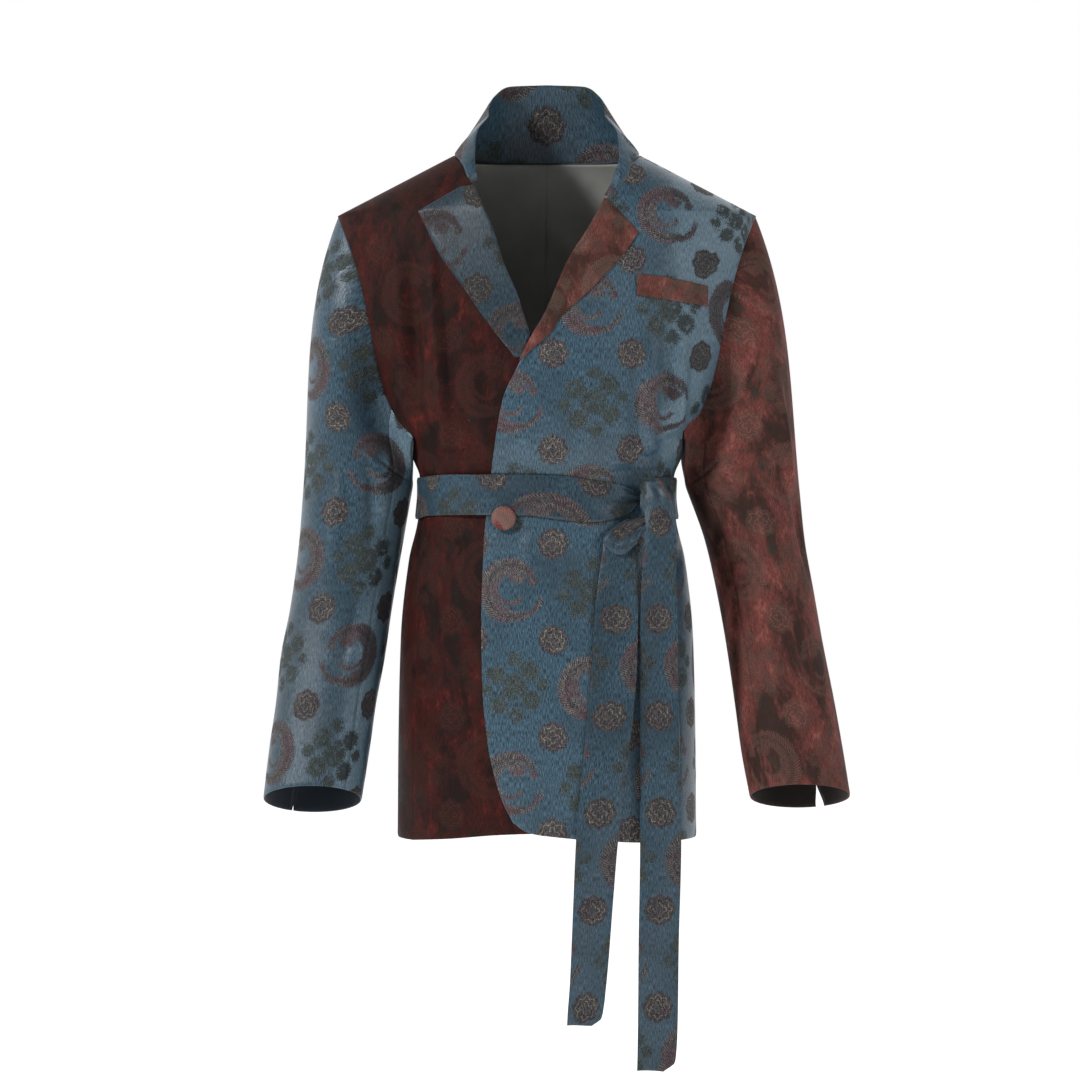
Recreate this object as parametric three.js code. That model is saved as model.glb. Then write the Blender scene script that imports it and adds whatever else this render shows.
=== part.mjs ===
// A belted brocade blazer, filled out as if worn, with nobody inside.
// Millimetres, +Z up. The front faces -Y and the wearer's right side is -X.
// The origin is midway between the shoulders, level with the base of the neck.
import * as THREE from 'three';

// Cloth and seams
const CLOTH = 2;
const LINING_CLOTH = 1;
const BELT_CLOTH = 2.4;
const SEAM_GAP = 0.3;
const LAY_GAP = 0.4;
const BELT_GAP = 1.2;
const LINING_GAP = 1.6;

// Main sizes of the body
const SHOULDER_X = 222;
const SHOULDER_Z = -56;
const SHOULDER_SLOPE = 0.52;
const ARMPIT_Z = -294;
const UNDERARM_Z = -298;
const HEM_Z = -712;
const NECK_TOP_Z = 9;
const SIDE_ROUNDNESS = 2.4;
const SHOULDER_SEAM_ANGLE = 0.0006;

// Where the two fronts cross
const OVERLAP_END_X = 40;
const OVERLAP_LIFT = CLOTH + 3 * LAY_GAP;
const OVERLAP_EASE = 50;

const HALF_TURN = Math.PI;
const QUARTER_TURN = Math.PI / 2;

// The torso: half width, and depth to the front and to the back, at each level
const TORSO = [
  { z: -712, half: 158.5, front: 120, back: 112 },
  { z: -600, half: 157.5, front: 118, back: 114 },
  { z: -500, half: 155, front: 113, back: 112 },
  { z: -420, half: 146.5, front: 105, back: 104 },
  { z: -378, half: 137, front: 99, back: 95 },
  { z: -350, half: 134.5, front: 97.5, back: 93 },
  { z: -332, half: 135, front: 98.5, back: 94 },
  { z: -316, half: 141, front: 108, back: 101 },
  { z: -298, half: 149, front: 113.5, back: 106 },
  { z: -250, half: 173, front: 118, back: 112 },
  { z: -200, half: 193, front: 117, back: 115 },
  { z: -150, half: 209, front: 113, back: 114 },
  { z: -100, half: 219, front: 105, back: 108 },
  { z: -56, half: 222, front: 96, back: 99 },
  { z: -28, half: 168, front: 88, back: 91 },
  { z: 0, half: 114, front: 78, back: 82 },
  { z: 12, half: 92, front: 72, back: 77 },
];

// Soft vertical folds that the panels share, each from its top to its bottom
const TORSO_FOLDS = [
  { topX: -146, topZ: -85, endX: -147, endZ: -305, width: 9, rise: -6 },
  { topX: -128, topZ: -110, endX: -131, endZ: -320, width: 8, rise: 3.5 },
  { topX: -106, topZ: -120, endX: -110, endZ: -322, width: 9, rise: 3 },
  { topX: 108, topZ: -205, endX: 104, endZ: -328, width: 10, rise: 3.5 },
  { topX: 124, topZ: -200, endX: 122, endZ: -326, width: 8, rise: -4 },
  { topX: 139, topZ: -200, endX: 136, endZ: -322, width: 7, rise: 3 },
  { topX: -112, topZ: -385, endX: -122, endZ: -560, width: 11, rise: -3 },
  { topX: 118, topZ: -385, endX: 128, endZ: -600, width: 11, rise: -3 },
];
const BACK_FOLDS = [
  { topX: -96, topZ: -140, endX: -70, endZ: -325, width: 12, rise: -4 },
  { topX: 98, topZ: -150, endX: 74, endZ: -325, width: 12, rise: -4 },
  { topX: -36, topZ: -385, endX: -44, endZ: -600, width: 13, rise: -3 },
  { topX: 40, topZ: -385, endX: 50, endZ: -590, width: 13, rise: -3 },
];

// Armholes, and the seams between fronts, sides and backs
const ARMHOLE = [
  { z: -294, front: 142, back: 142 },
  { z: -271, front: 159, back: 158 },
  { z: -251, front: 169, back: 170 },
  { z: -220, front: 178, back: 181 },
  { z: -171, front: 187, back: 192 },
  { z: -128, front: 196.5, back: 201 },
  { z: -96, front: 206, back: 209 },
  { z: -56, front: 222, back: 222 },
];
const SIDE_SEAMS = [
  { z: -712, front: 140, back: 124 },
  { z: -600, front: 139, back: 122 },
  { z: -450, front: 134, back: 116 },
  { z: -350, front: 129, back: 108 },
  { z: -294, front: 142, back: 142 },
];

// The neckline, by angle from the front round to the back
const NECKLINE = [
  { angle: 0.244, z: -44.6 },
  { angle: 0.3985, z: -28.6 },
  { angle: 0.75, z: -5 },
  { angle: 1.1, z: 4 },
  { angle: 1.571, z: 9 },
  { angle: 3.15, z: 7.5 },
];
const RIGHT_FRONT_NECK_END = 0.3985;
const LEFT_FRONT_NECK_END = 0.244;

// The front edges: the roll of each lapel above, and the front edge below it
const RIGHT_FRONT_EDGE = [
  { z: -712, x: 40 },
  { z: -290, x: 40 },
  { z: -250, x: 22 },
  { z: -215, x: -4 },
  { z: -185, x: -18 },
  { z: -146, x: -30.6 },
  { z: -112, x: -44.9 },
  { z: -76, x: -56 },
  { z: -51, x: -67 },
  { z: -28.6, x: -76.7 },
];
const LEFT_FRONT_EDGE = [
  { z: -690, x: -35 },
  { z: -668, x: -46 },
  { z: -636, x: -55.5 },
  { z: -600, x: -62 },
  { z: -545, x: -66.5 },
  { z: -485, x: -67.4 },
  { z: -406, x: -65.1 },
  { z: -350, x: -60 },
  { z: -303, x: -54.1 },
  { z: -254, x: -45.5 },
  { z: -216, x: -28.4 },
  { z: -190, x: -16.4 },
  { z: -170, x: -4.5 },
  { z: -139, x: 9.2 },
  { z: -111, x: 21.3 },
  { z: -78, x: 41.8 },
  { z: -44.6, x: 60.8 },
];

// The left front's hem rises to a rounded corner at its front edge
const LEFT_HEM = [
  { across: 0, z: -690 },
  { across: 0.07, z: -700.5 },
  { across: 0.2, z: -706 },
  { across: 0.4, z: -709.5 },
  { across: 0.65, z: -712 },
  { across: 1, z: -712 },
];
const RIGHT_HEM = [
  { across: 0, z: -700 },
  { across: 0.35, z: -703 },
  { across: 0.65, z: -708 },
  { across: 1, z: -712 },
];
const HEM_FADE = 130;

// The lapels' outer edges
const RIGHT_LAPEL_EDGE = [
  { z: -211, x: -33 },
  { z: -176, x: -60.7 },
  { z: -141, x: -84.5 },
  { z: -103, x: -111.4 },
  { z: -57.5, x: -133.6 },
  { z: -31.5, x: -89 },
];
const LEFT_LAPEL_EDGE = [
  { z: -215, x: -28 },
  { z: -202, x: -14.7 },
  { z: -185, x: 4.5 },
  { z: -170, x: 13.3 },
  { z: -148, x: 37.1 },
  { z: -111, x: 73.2 },
  { z: -79.7, x: 94.7 },
  { z: -47, x: 63.5 },
];
const LAPEL_ROLL_RISE = 2.5;
const LAPEL_CLEARANCE = 2;

// The collar: height, and how far its top leans in, by angle from the front
const COLLAR = [
  { angle: 0.24, height: 10, lean: 8 },
  { angle: 0.4, height: 13, lean: 10 },
  { angle: 0.75, height: 19, lean: 17 },
  { angle: 1.1, height: 29, lean: 25 },
  { angle: 1.57, height: 44, lean: 35 },
  { angle: 2.1, height: 67, lean: 35 },
  { angle: 2.6, height: 80, lean: 30 },
  { angle: 3.15, height: 83, lean: 27 },
];

const COLLAR_SEAT = 1.1;

// The sleeves below the armpit: outer and inner x, middle y, half depth, and forward slope
const RIGHT_SLEEVE = [
  { z: -668, outer: 294.8, inner: 192.5, middle: -86, depth: 42.5, slope: 0.4 },
  { z: -613, outer: 289.6, inner: 184.8, middle: -62, depth: 45.5, slope: 0.38 },
  { z: -570, outer: 284.5, inner: 179.5, middle: -44, depth: 48.5, slope: 0.33 },
  { z: -525, outer: 281, inner: 171.5, middle: -28, depth: 52, slope: 0.26 },
  { z: -470, outer: 271.5, inner: 164, middle: -12, depth: 57, slope: 0.16 },
  { z: -400, outer: 263, inner: 152.5, middle: 0, depth: 62, slope: 0.06 },
  { z: -345, outer: 259, inner: 143, middle: 4, depth: 64, slope: 0 },
];
const LEFT_SLEEVE = [
  { z: -665, outer: 314.9, inner: 210.5, middle: -86, depth: 42.5, slope: 0.36 },
  { z: -616, outer: 308.5, inner: 202.5, middle: -64, depth: 45.5, slope: 0.34 },
  { z: -572, outer: 302, inner: 197.5, middle: -46, depth: 48.5, slope: 0.3 },
  { z: -508, outer: 291, inner: 189.2, middle: -24, depth: 53, slope: 0.22 },
  { z: -454, outer: 282.6, inner: 180, middle: -10, depth: 57, slope: 0.14 },
  { z: -400, outer: 273.8, inner: 168, middle: 0, depth: 61, slope: 0.06 },
  { z: -345, outer: 268.5, inner: 148.5, middle: 4, depth: 64, slope: 0 },
];
const FRONT_SLEEVE_SEAM = 2.34;
const BACK_SLEEVE_SEAM = -1.09;
const SLEEVE_GAP_ANGLE = 0.004;
const UNDERARM_CLEARANCE = 1.8;
const ARMHOLE_CLEARANCE = 1;
const SEAM_BLEND = 0.1;

// The slits at the cuffs: length, and half width as an angle at the cuff
const RIGHT_VENT = { length: 62, halfAngle: 0.012 };
const LEFT_VENT = { length: 62, halfAngle: 0.095 };

// Folds that run down or across the sleeves, by angle and by row
const SLEEVE_FOLDS = [
  { side: 1, angle: 0.95, along: 0.5, turn: -0.42, reach: 0.55, width: 0.13, rise: 6 },
  { side: 1, angle: 0.62, along: 0.95, turn: -0.3, reach: 0.4, width: 0.12, rise: -4 },
  { side: 1, angle: 2.05, along: 1.25, turn: 0, reach: 0.45, width: 0.14, rise: -4 },
  { side: -1, angle: 1.75, along: 0.75, turn: 0.3, reach: 0.5, width: 0.14, rise: -4 },
  { side: -1, angle: 1.2, along: 0.9, turn: 0.2, reach: 0.45, width: 0.14, rise: 3.5 },
  { side: -1, angle: 2, along: 1.35, turn: -0.2, reach: 0.35, width: 0.13, rise: -3.5 },
];

// The belt band, level by x on the front, and round the back
const BELT_FRONT = [
  { x: -134, top: -333, low: -374 },
  { x: -100, top: -330, low: -373.5 },
  { x: -50, top: -329, low: -373.5 },
  { x: -20, top: -329, low: -374 },
  { x: 11, top: -331.5, low: -378 },
  { x: 43, top: -336.5, low: -381 },
  { x: 59, top: -339, low: -380.5 },
  { x: 73, top: -342, low: -378 },
  { x: 84, top: -346, low: -374 },
  { x: 92, top: -350, low: -366 },
];
const BELT_BACK = { top: -333, low: -377 };
const KNOT_LEFT_X = 92;
const BAND_END_X = 124;

// The belt's tails: left and right edges and the middle depth at each level
const LONG_TAIL = [
  { z: -946, left: 93, right: 124, y: -117 },
  { z: -936, left: 93.2, right: 132, y: -117 },
  { z: -907, left: 93.6, right: 134, y: -117 },
  { z: -822, left: 94, right: 135.5, y: -116 },
  { z: -712, left: 95.7, right: 138.5, y: -115 },
  { z: -600, left: 96, right: 136, y: -114 },
  { z: -481, left: 96.2, right: 134, y: -113 },
  { z: -430, left: 97.8, right: 133, y: -113 },
  { z: -389, left: 101.5, right: 133, y: -110.5 },
  { z: -367, left: 100, right: 131.6, y: -105.4 },
  { z: -354, left: 98, right: 129.5, y: -102.9 },
  { z: -345, left: 97, right: 125, y: -99 },
];
const SHORT_TAIL = [
  { z: -898, left: 20.8, right: 46, y: -127 },
  { z: -890, left: 21, right: 56, y: -127 },
  { z: -857, left: 23.3, right: 60.5, y: -127 },
  { z: -772, left: 26.7, right: 67.6, y: -127 },
  { z: -707, left: 29.6, right: 73.2, y: -127 },
  { z: -606, left: 38.8, right: 85.6, y: -124.5 },
  { z: -528, left: 46, right: 92.5, y: -118.5 },
  { z: -468, left: 49.8, right: 93.8, y: -113.5 },
  { z: -436, left: 53.5, right: 94.5, y: -109 },
  { z: -409.4, left: 57.2, right: 93, y: -105 },
];

const WELT = { left: 92.4, right: 167, leftTop: -124, leftLow: -146, rightTop: -135, rightLow: -156 };
const BUTTON = { x: -43.6, z: -377, radius: 12.8, thickness: 5.5, shankRadius: 2.3 };
const SHANK_SEAT = 0.5;
const SHANK_EXTRA = 0.2;
const LINING_END_Z = -362;

const BLUE = new THREE.MeshStandardMaterial({ color: '#445a6b', roughness: 0.62, metalness: 0 });
const RED = new THREE.MeshStandardMaterial({ color: '#4f2a28', roughness: 0.66, metalness: 0 });
const GREY = new THREE.MeshStandardMaterial({ color: '#3d3d3b', roughness: 0.75, metalness: 0 });

const garment = new THREE.Group();
garment.name = 'belted_blazer';

// Number helpers

function clamp(value, low, high) {
  return Math.min(high, Math.max(low, value));
}

function mix(a, b, share) {
  return a + (b - a) * share;
}

function smooth(value, from, to) {
  const share = clamp((value - from) / (to - from), 0, 1);
  return share * share * (3 - 2 * share);
}

// Ready slopes for a table's column, flat at every turning point
function slopeAt(rows, key, column, index) {
  const here = rows[index];
  const before = rows[Math.max(index - 1, 0)];
  const after = rows[Math.min(index + 1, rows.length - 1)];
  const left = before === here ? 0 : (here[column] - before[column]) / (here[key] - before[key]);
  const right = after === here ? 0 : (after[column] - here[column]) / (after[key] - here[key]);
  if (before === here) return right;
  if (after === here) return left;
  return left * right <= 0 ? 0 : (2 * left * right) / (left + right);
}

// Read a column of a table at a key, along a smooth curve through its rows
function read(rows, key, column, at) {
  const value = clamp(at, Math.min(rows[0][key], rows.at(-1)[key]), Math.max(rows[0][key], rows.at(-1)[key]));
  let index = 0;
  while (index < rows.length - 2 && value > rows[index + 1][key]) index += 1;
  const from = rows[index];
  const to = rows[index + 1];
  const span = to[key] - from[key];
  const u = (value - from[key]) / span;
  const slopeFrom = slopeAt(rows, key, column, index) * span;
  const slopeTo = slopeAt(rows, key, column, index + 1) * span;
  const rise = to[column] - from[column];
  return (
    from[column] +
    u * slopeFrom +
    u * u * (3 * rise - 2 * slopeFrom - slopeTo) +
    u * u * u * (slopeFrom + slopeTo - 2 * rise)
  );
}

function sorted(rows, key) {
  return [...rows].sort((a, b) => a[key] - b[key]);
}

function spread(from, to, count) {
  return Array.from({ length: count + 1 }, (_, index) => mix(from, to, index / count));
}

// The torso's surface

function halfWidth(z) {
  const shoulder = SHOULDER_X - (z - SHOULDER_Z) / SHOULDER_SLOPE;
  return z > SHOULDER_Z ? shoulder : read(TORSO, 'z', 'half', z);
}

function foldRise(x, z, folds) {
  let total = 0;
  for (const fold of folds) {
    const along = (z - fold.topZ) / (fold.endZ - fold.topZ);
    if (along <= 0 || along >= 1) continue;
    const offset = (x - mix(fold.topX, fold.endX, along)) / fold.width;
    total += fold.rise * Math.sin(HALF_TURN * along) * Math.exp(-offset * offset);
  }
  return total;
}

// The ring at one level: angle 0 is the centre front, a quarter turn the wearer's left side
function ringPoint(angle, z) {
  const power = 2 / SIDE_ROUNDNESS;
  const across = Math.sin(angle);
  const along = Math.cos(angle);
  const depth = read(TORSO, 'z', along > 0 ? 'front' : 'back', z);
  const x = Math.sign(across) * halfWidth(z) * Math.abs(across) ** power;
  const y = -Math.sign(along) * depth * Math.abs(along) ** power;
  return new THREE.Vector3(x, y, z);
}

function ringNormal(angle, z) {
  const step = 0.002;
  const rise = 1;
  const round = ringPoint(angle + step, z).sub(ringPoint(angle - step, z));
  const up = ringPoint(angle, Math.min(z + rise, NECK_TOP_Z + 2)).sub(ringPoint(angle, z - rise));
  return round.cross(up).normalize();
}

// A point of the cloth, moved out by lift, with its outward normal
function torsoPoint(angle, z, lift = 0) {
  const point = ringPoint(angle, z);
  const normal = ringNormal(angle, z);
  const folds = Math.cos(angle) > 0 ? TORSO_FOLDS : BACK_FOLDS;
  const fade = smooth(Math.abs(Math.cos(angle)), 0.05, 0.3);
  const total = lift + fade * foldRise(point.x, z, folds);
  return { point: point.addScaledVector(normal, total), normal };
}

// The angle whose point on the front or back of the ring has this x
function angleOf(x, z, back = false) {
  const share = clamp(Math.abs(x) / halfWidth(z), 0, 1);
  const angle = Math.asin(share ** (SIDE_ROUNDNESS / 2));
  return Math.sign(x) * (back ? HALF_TURN - angle : angle);
}

// The left front lies over the right one, and eases back onto its own line past the overlap
function overlapShare(x) {
  return 1 - smooth(x, OVERLAP_END_X + 4, OVERLAP_END_X + 4 + OVERLAP_EASE);
}

// Closed walls

function makeMesh(name, material, points, faces) {
  const geometry = new THREE.BufferGeometry();
  geometry.setAttribute('position', new THREE.Float32BufferAttribute(points.flatMap((p) => [p.x, p.y, p.z]), 3));
  geometry.setIndex(faces.flat());
  geometry.computeVertexNormals();
  const mesh = new THREE.Mesh(geometry, material);
  mesh.name = name;
  garment.add(mesh);
}

function signedVolume(points, faces) {
  const cross = new THREE.Vector3();
  return faces.reduce((sum, [a, b, c]) => sum + points[a].dot(cross.crossVectors(points[b], points[c])), 0);
}

// A cloth wall: a grid of outer points and the same grid moved in by the cloth's thickness
function addWall(name, material, us, vs, surface, thickness = CLOTH) {
  const outer = [];
  const inner = [];
  for (const u of us) {
    for (const v of vs) {
      const { point, normal } = surface(u, v);
      outer.push(point.clone());
      inner.push(point.clone().addScaledVector(normal, -thickness));
    }
  }
  const points = [...outer, ...inner];
  const shift = outer.length;
  const at = (i, j) => i * vs.length + j;
  const faces = [];
  const addQuad = (a, b, c, d) => faces.push([a, b, c], [a, c, d]);
  for (let i = 0; i < us.length - 1; i += 1) {
    for (let j = 0; j < vs.length - 1; j += 1) {
      const corners = [at(i, j), at(i + 1, j), at(i + 1, j + 1), at(i, j + 1)];
      addQuad(...corners);
      addQuad(...corners.map((index) => index + shift).reverse());
    }
  }
  const last = { u: us.length - 1, v: vs.length - 1 };
  for (let i = 0; i < last.u; i += 1) {
    addQuad(at(i + 1, 0), at(i, 0), at(i, 0) + shift, at(i + 1, 0) + shift);
    addQuad(at(i, last.v), at(i + 1, last.v), at(i + 1, last.v) + shift, at(i, last.v) + shift);
  }
  for (let j = 0; j < last.v; j += 1) {
    addQuad(at(0, j), at(0, j + 1), at(0, j + 1) + shift, at(0, j) + shift);
    addQuad(at(last.u, j + 1), at(last.u, j), at(last.u, j) + shift, at(last.u, j + 1) + shift);
  }
  const facesOut = signedVolume(points, faces) > 0 ? faces : faces.map(([a, b, c]) => [a, c, b]);
  makeMesh(name, material, points, facesOut);
}

// Levels shared by the panels, closer together at the waist and over the shoulders
const PANEL_LEVELS = [
  -712, -680, -645, -605, -560, -515, -470, -430, -400, -380, -364, -348, -334, -323, -309, -294,
  -271, -251, -228, -200, -171, -146, -120, -96, -76, -63, -56, -42, -28.6, -16, -6, 2, 8.8,
];

function neckAngle(z) {
  const rows = NECKLINE.slice(0, 5);
  let low = rows[0].angle;
  let high = rows.at(-1).angle;
  for (let turn = 0; turn < 30; turn += 1) {
    const middle = (low + high) / 2;
    if (read(rows, 'angle', 'z', middle) < z) low = middle;
    else high = middle;
  }
  return low;
}

// The angle at which a front or back ends towards the sleeve or the side panel
function outerAngle(z, side, back) {
  const column = back ? 'back' : 'front';
  const gap = SEAM_GAP / 2 / halfWidth(z);
  const away = back ? 1 : -1;
  if (z > SHOULDER_Z) return side * (QUARTER_TURN + away * SHOULDER_SEAM_ANGLE);
  const rows = z >= ARMPIT_Z ? sorted(ARMHOLE, 'z') : sorted(SIDE_SEAMS, 'z');
  const angle = Math.abs(angleOf(read(rows, 'z', column, z), z, back));
  return side * (angle + away * gap * 2);
}

function frontInnerAngle(z, side, edgeRows, neckEnd) {
  const neckZ = read(NECKLINE, 'angle', 'z', neckEnd);
  if (z > neckZ) return side * neckAngle(z);
  return angleOf(read(sorted(edgeRows, 'z'), 'z', 'x', z), z);
}

function addFront(name, material, side, edgeRows, hemRows, neckEnd, liftAt) {
  const levels = PANEL_LEVELS;
  const surface = (u, v) => {
    const level = levels[v];
    const fade = clamp(1 - (level - HEM_Z) / HEM_FADE, 0, 1);
    const z = level + (read(hemRows, 'across', 'z', u) - HEM_Z) * fade;
    const angle = mix(frontInnerAngle(z, side, edgeRows, neckEnd), outerAngle(z, side, false), u);
    return torsoPoint(angle, z, liftAt(ringPoint(angle, z).x));
  };
  addWall(name, material, [0, 0.07, 0.2, 0.33, 0.46, 0.58, 0.69, 0.79, 0.88, 0.95, 1], levels.keys().toArray(), surface);
}

const SIDE_GAP_ANGLE = 0.004;
const SEAM_TOP_Z = ARMPIT_Z - 0.5;

function addSide(name, material, side) {
  const levels = PANEL_LEVELS.filter((z) => z <= ARMPIT_Z);
  const surface = (u, v) => {
    const seam = (z) => outerAngle(Math.min(z, SEAM_TOP_Z), side, false);
    const backSeam = (z) => outerAngle(Math.min(z, SEAM_TOP_Z), side, true);
    const gap = side * SIDE_GAP_ANGLE;
    const topAngle = mix(seam(ARMPIT_Z) + gap, backSeam(ARMPIT_Z) - gap, u);
    const topZ = underarmLevel(topAngle) - SEAM_GAP;
    const z = v === levels.length - 1 ? topZ : levels[v];
    return torsoPoint(mix(seam(z) + gap, backSeam(z) - gap, u), z);
  };
  addWall(name, material, spread(0, 1, 5), levels.keys().toArray(), surface);
}

// The armhole's lowest stretch dips a little between its corners
function underarmLevel(angle) {
  const y = ringPoint(angle, ARMPIT_Z).y;
  const corner = ringPoint(angleOf(ARMHOLE[0].front, ARMPIT_Z), ARMPIT_Z).y;
  return mix(UNDERARM_Z, ARMPIT_Z, clamp((y / corner) ** 2, 0, 1));
}

function addBack(name, material, side) {
  const surface = (u, v) => {
    const level = PANEL_LEVELS[v];
    const angle = mix(angleOf(side * SEAM_GAP / 2, level, true), outerAngle(level, side, true), u);
    const top = v === PANEL_LEVELS.length - 1;
    return torsoPoint(angle, top ? read(NECKLINE, 'angle', 'z', Math.abs(angle)) : level);
  };
  addWall(name, material, spread(0, 1, 9), PANEL_LEVELS.keys().toArray(), surface);
}

// Lapels lie on the fronts, from the roll to their own edge

function addLapel(name, material, levels, edgeRows, rollAt, liftAt) {
  const surface = (u, v) => {
    const z = levels[v];
    const from = angleOf(rollAt(z), z);
    const to = angleOf(read(edgeRows, 'z', 'x', z), z);
    const angle = mix(from, to, u);
    const rise = LAPEL_ROLL_RISE * (1 - u) ** 2;
    return torsoPoint(angle, z, liftAt(ringPoint(angle, z).x) + LAY_GAP + CLOTH + rise);
  };
  addWall(name, material, spread(0, 1, 5), levels.keys().toArray(), surface);
}

// The collar stands on the neckline and leans in towards the neck
const NECK_CENTRE_Y = -8;
const COLLAR_LEAN_CURVE = 1.25;
const COLLAR_END_GAP = 0.02;

function collarPoint(angle, share) {
  const turn = Math.abs(angle);
  const base = torsoPoint(angle, read(NECKLINE, 'angle', 'z', turn)).point;
  const inward = new THREE.Vector3(-base.x, NECK_CENTRE_Y - base.y, 0).normalize();
  const lean = read(COLLAR, 'angle', 'lean', turn) * share ** COLLAR_LEAN_CURVE;
  const height = COLLAR_SEAT + read(COLLAR, 'angle', 'height', turn) * share;
  return base.addScaledVector(inward, lean).add(new THREE.Vector3(0, 0, height));
}

function addCollar() {
  const front = { right: -RIGHT_FRONT_NECK_END - COLLAR_END_GAP, left: LEFT_FRONT_NECK_END + COLLAR_END_GAP };
  const span = front.left - 2 * HALF_TURN - front.right;
  const surface = (u, v) => {
    const turn = front.right + span * u;
    const angle = turn < -HALF_TURN ? turn + 2 * HALF_TURN : turn;
    const point = collarPoint(angle, v);
    const round = collarPoint(angle + 0.01, v).sub(collarPoint(angle - 0.01, v));
    const up = collarPoint(angle, Math.min(v + 0.05, 1)).sub(collarPoint(angle, Math.max(v - 0.05, 0)));
    const normal = round.cross(up);
    if (v === 0) normal.z = 0;
    return { point, normal: normal.normalize() };
  };
  addWall('collar', BLUE, spread(0, 1, 34), spread(0, 1, 5), surface);
}

// Sleeves

function sleeveRing(rows, side, angle, z) {
  const outer = read(rows, 'z', 'outer', z);
  const inner = read(rows, 'z', 'inner', z);
  const middle = read(rows, 'z', 'middle', z);
  const x = (outer + inner) / 2 + ((outer - inner) / 2) * Math.cos(angle);
  const forward = -read(rows, 'z', 'depth', z) * Math.sin(angle);
  return new THREE.Vector3(side * x, middle + forward, z - forward * read(rows, 'z', 'slope', z));
}

// The armhole as a loop: angle 0 at the shoulder, a quarter turn at the front
function armholePoint(side, angle) {
  const half = (SHOULDER_Z - UNDERARM_Z) / 2;
  const z = UNDERARM_Z + half + half * Math.cos(angle);
  const back = Math.sin(angle) < 0;
  if (z >= ARMPIT_Z) {
    const x = read(sorted(ARMHOLE, 'z'), 'z', back ? 'back' : 'front', z) + ARMHOLE_CLEARANCE;
    return torsoPoint(angleOf(side * x, z, back), z);
  }
  const corner = ringPoint(angleOf(ARMHOLE[0].front, ARMPIT_Z, back), ARMPIT_Z).y;
  const y = corner * Math.sqrt(clamp((z - UNDERARM_Z) / (ARMPIT_Z - UNDERARM_Z), 0, 1));
  const depth = read(TORSO, 'z', back ? 'back' : 'front', z);
  const turn = Math.acos(clamp((Math.abs(y) / depth) ** (SIDE_ROUNDNESS / 2), 0, 1));
  return torsoPoint(side * (back ? HALF_TURN - turn : turn), z, UNDERARM_CLEARANCE);
}

// How the cap's curves leave the armhole: out at the shoulder, out at the seams, forward, and level
const CAP_LEAVE = { shoulderOut: 0.2, seamOut: 0.45, forward: 0.12, level: 0.35 };
const CAP_REACH = 0.36;
const CAP_SETTLE = 10;

// The cap runs from the armhole (0) to the first full ring (1), and the arm on to the cuff (2)
function sleevePoint(rows, side, angle, along) {
  const top = rows.at(-1).z;
  if (along >= 1) return sleeveRing(rows, side, angle, mix(top, rows[0].z, along - 1));
  const start = armholePoint(side, angle).point;
  const end = sleeveRing(rows, side, angle, top);
  const reach = start.distanceTo(end) * CAP_REACH;
  const c = Math.cos(angle);
  const s = Math.sin(angle);
  const out = CAP_LEAVE.shoulderOut * (1 + c) + CAP_LEAVE.seamOut * s * s;
  const leave = new THREE.Vector3(side * out, -CAP_LEAVE.forward * s, CAP_LEAVE.level * s * s - 1).normalize();
  const below = sleeveRing(rows, side, angle, top - CAP_SETTLE);
  const arrive = end.clone().sub(below).normalize();
  const first = start.clone().addScaledVector(leave, reach);
  const second = end.clone().addScaledVector(arrive, reach);
  return new THREE.CubicBezierCurve3(start, first, second, end).getPoint(along);
}

function sleeveNormal(rows, side, angle, along) {
  const step = 0.01;
  const round = sleevePoint(rows, side, angle + step, along).sub(sleevePoint(rows, side, angle - step, along));
  const low = Math.max(along - step, 0);
  const high = Math.min(along + step, 2);
  const down = sleevePoint(rows, side, angle, high).sub(sleevePoint(rows, side, angle, low));
  return round.cross(down).multiplyScalar(side).normalize();
}

function sleeveFoldRise(side, angle, along) {
  let total = 0;
  for (const fold of SLEEVE_FOLDS) {
    if (fold.side !== side) continue;
    const share = (along - fold.along) / fold.reach;
    if (share <= 0 || share >= 1) continue;
    const offset = (angle - fold.angle - fold.turn * share) / fold.width;
    total += fold.rise * Math.sin(HALF_TURN * share) * Math.exp(-offset * offset);
  }
  return total;
}

function sleeveSurface(rows, side, angle, along) {
  const point = sleevePoint(rows, side, angle, along);
  const normal = sleeveNormal(rows, side, angle, along);
  point.addScaledVector(normal, sleeveFoldRise(side, angle, along));
  if (along < SEAM_BLEND) {
    const share = smooth(Math.cos(angle), -0.2, 0.6) * (1 - along / SEAM_BLEND);
    normal.lerp(armholePoint(side, angle).normal, share).normalize();
  }
  return { point, normal };
}

const TOP_COLUMNS = [0, 0.09, 0.18, 0.26, 0.32, 0.38, 0.45, 0.53, 0.62, 0.72, 0.82, 0.91, 1];
const UNDER_COLUMNS = [0, 0.1, 0.18, 0.235, 0.28, 0.325, 0.38, 0.46, 0.58, 0.72, 0.86, 1];
const SLEEVE_ROWS = [
  0, 0.05, 0.13, 0.24, 0.36, 0.48, 0.6, 0.72, 0.86,
  1, 1.09, 1.18, 1.27, 1.36, 1.46, 1.56, 1.66, 1.76, 1.84, 1.92, 2,
];

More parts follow.
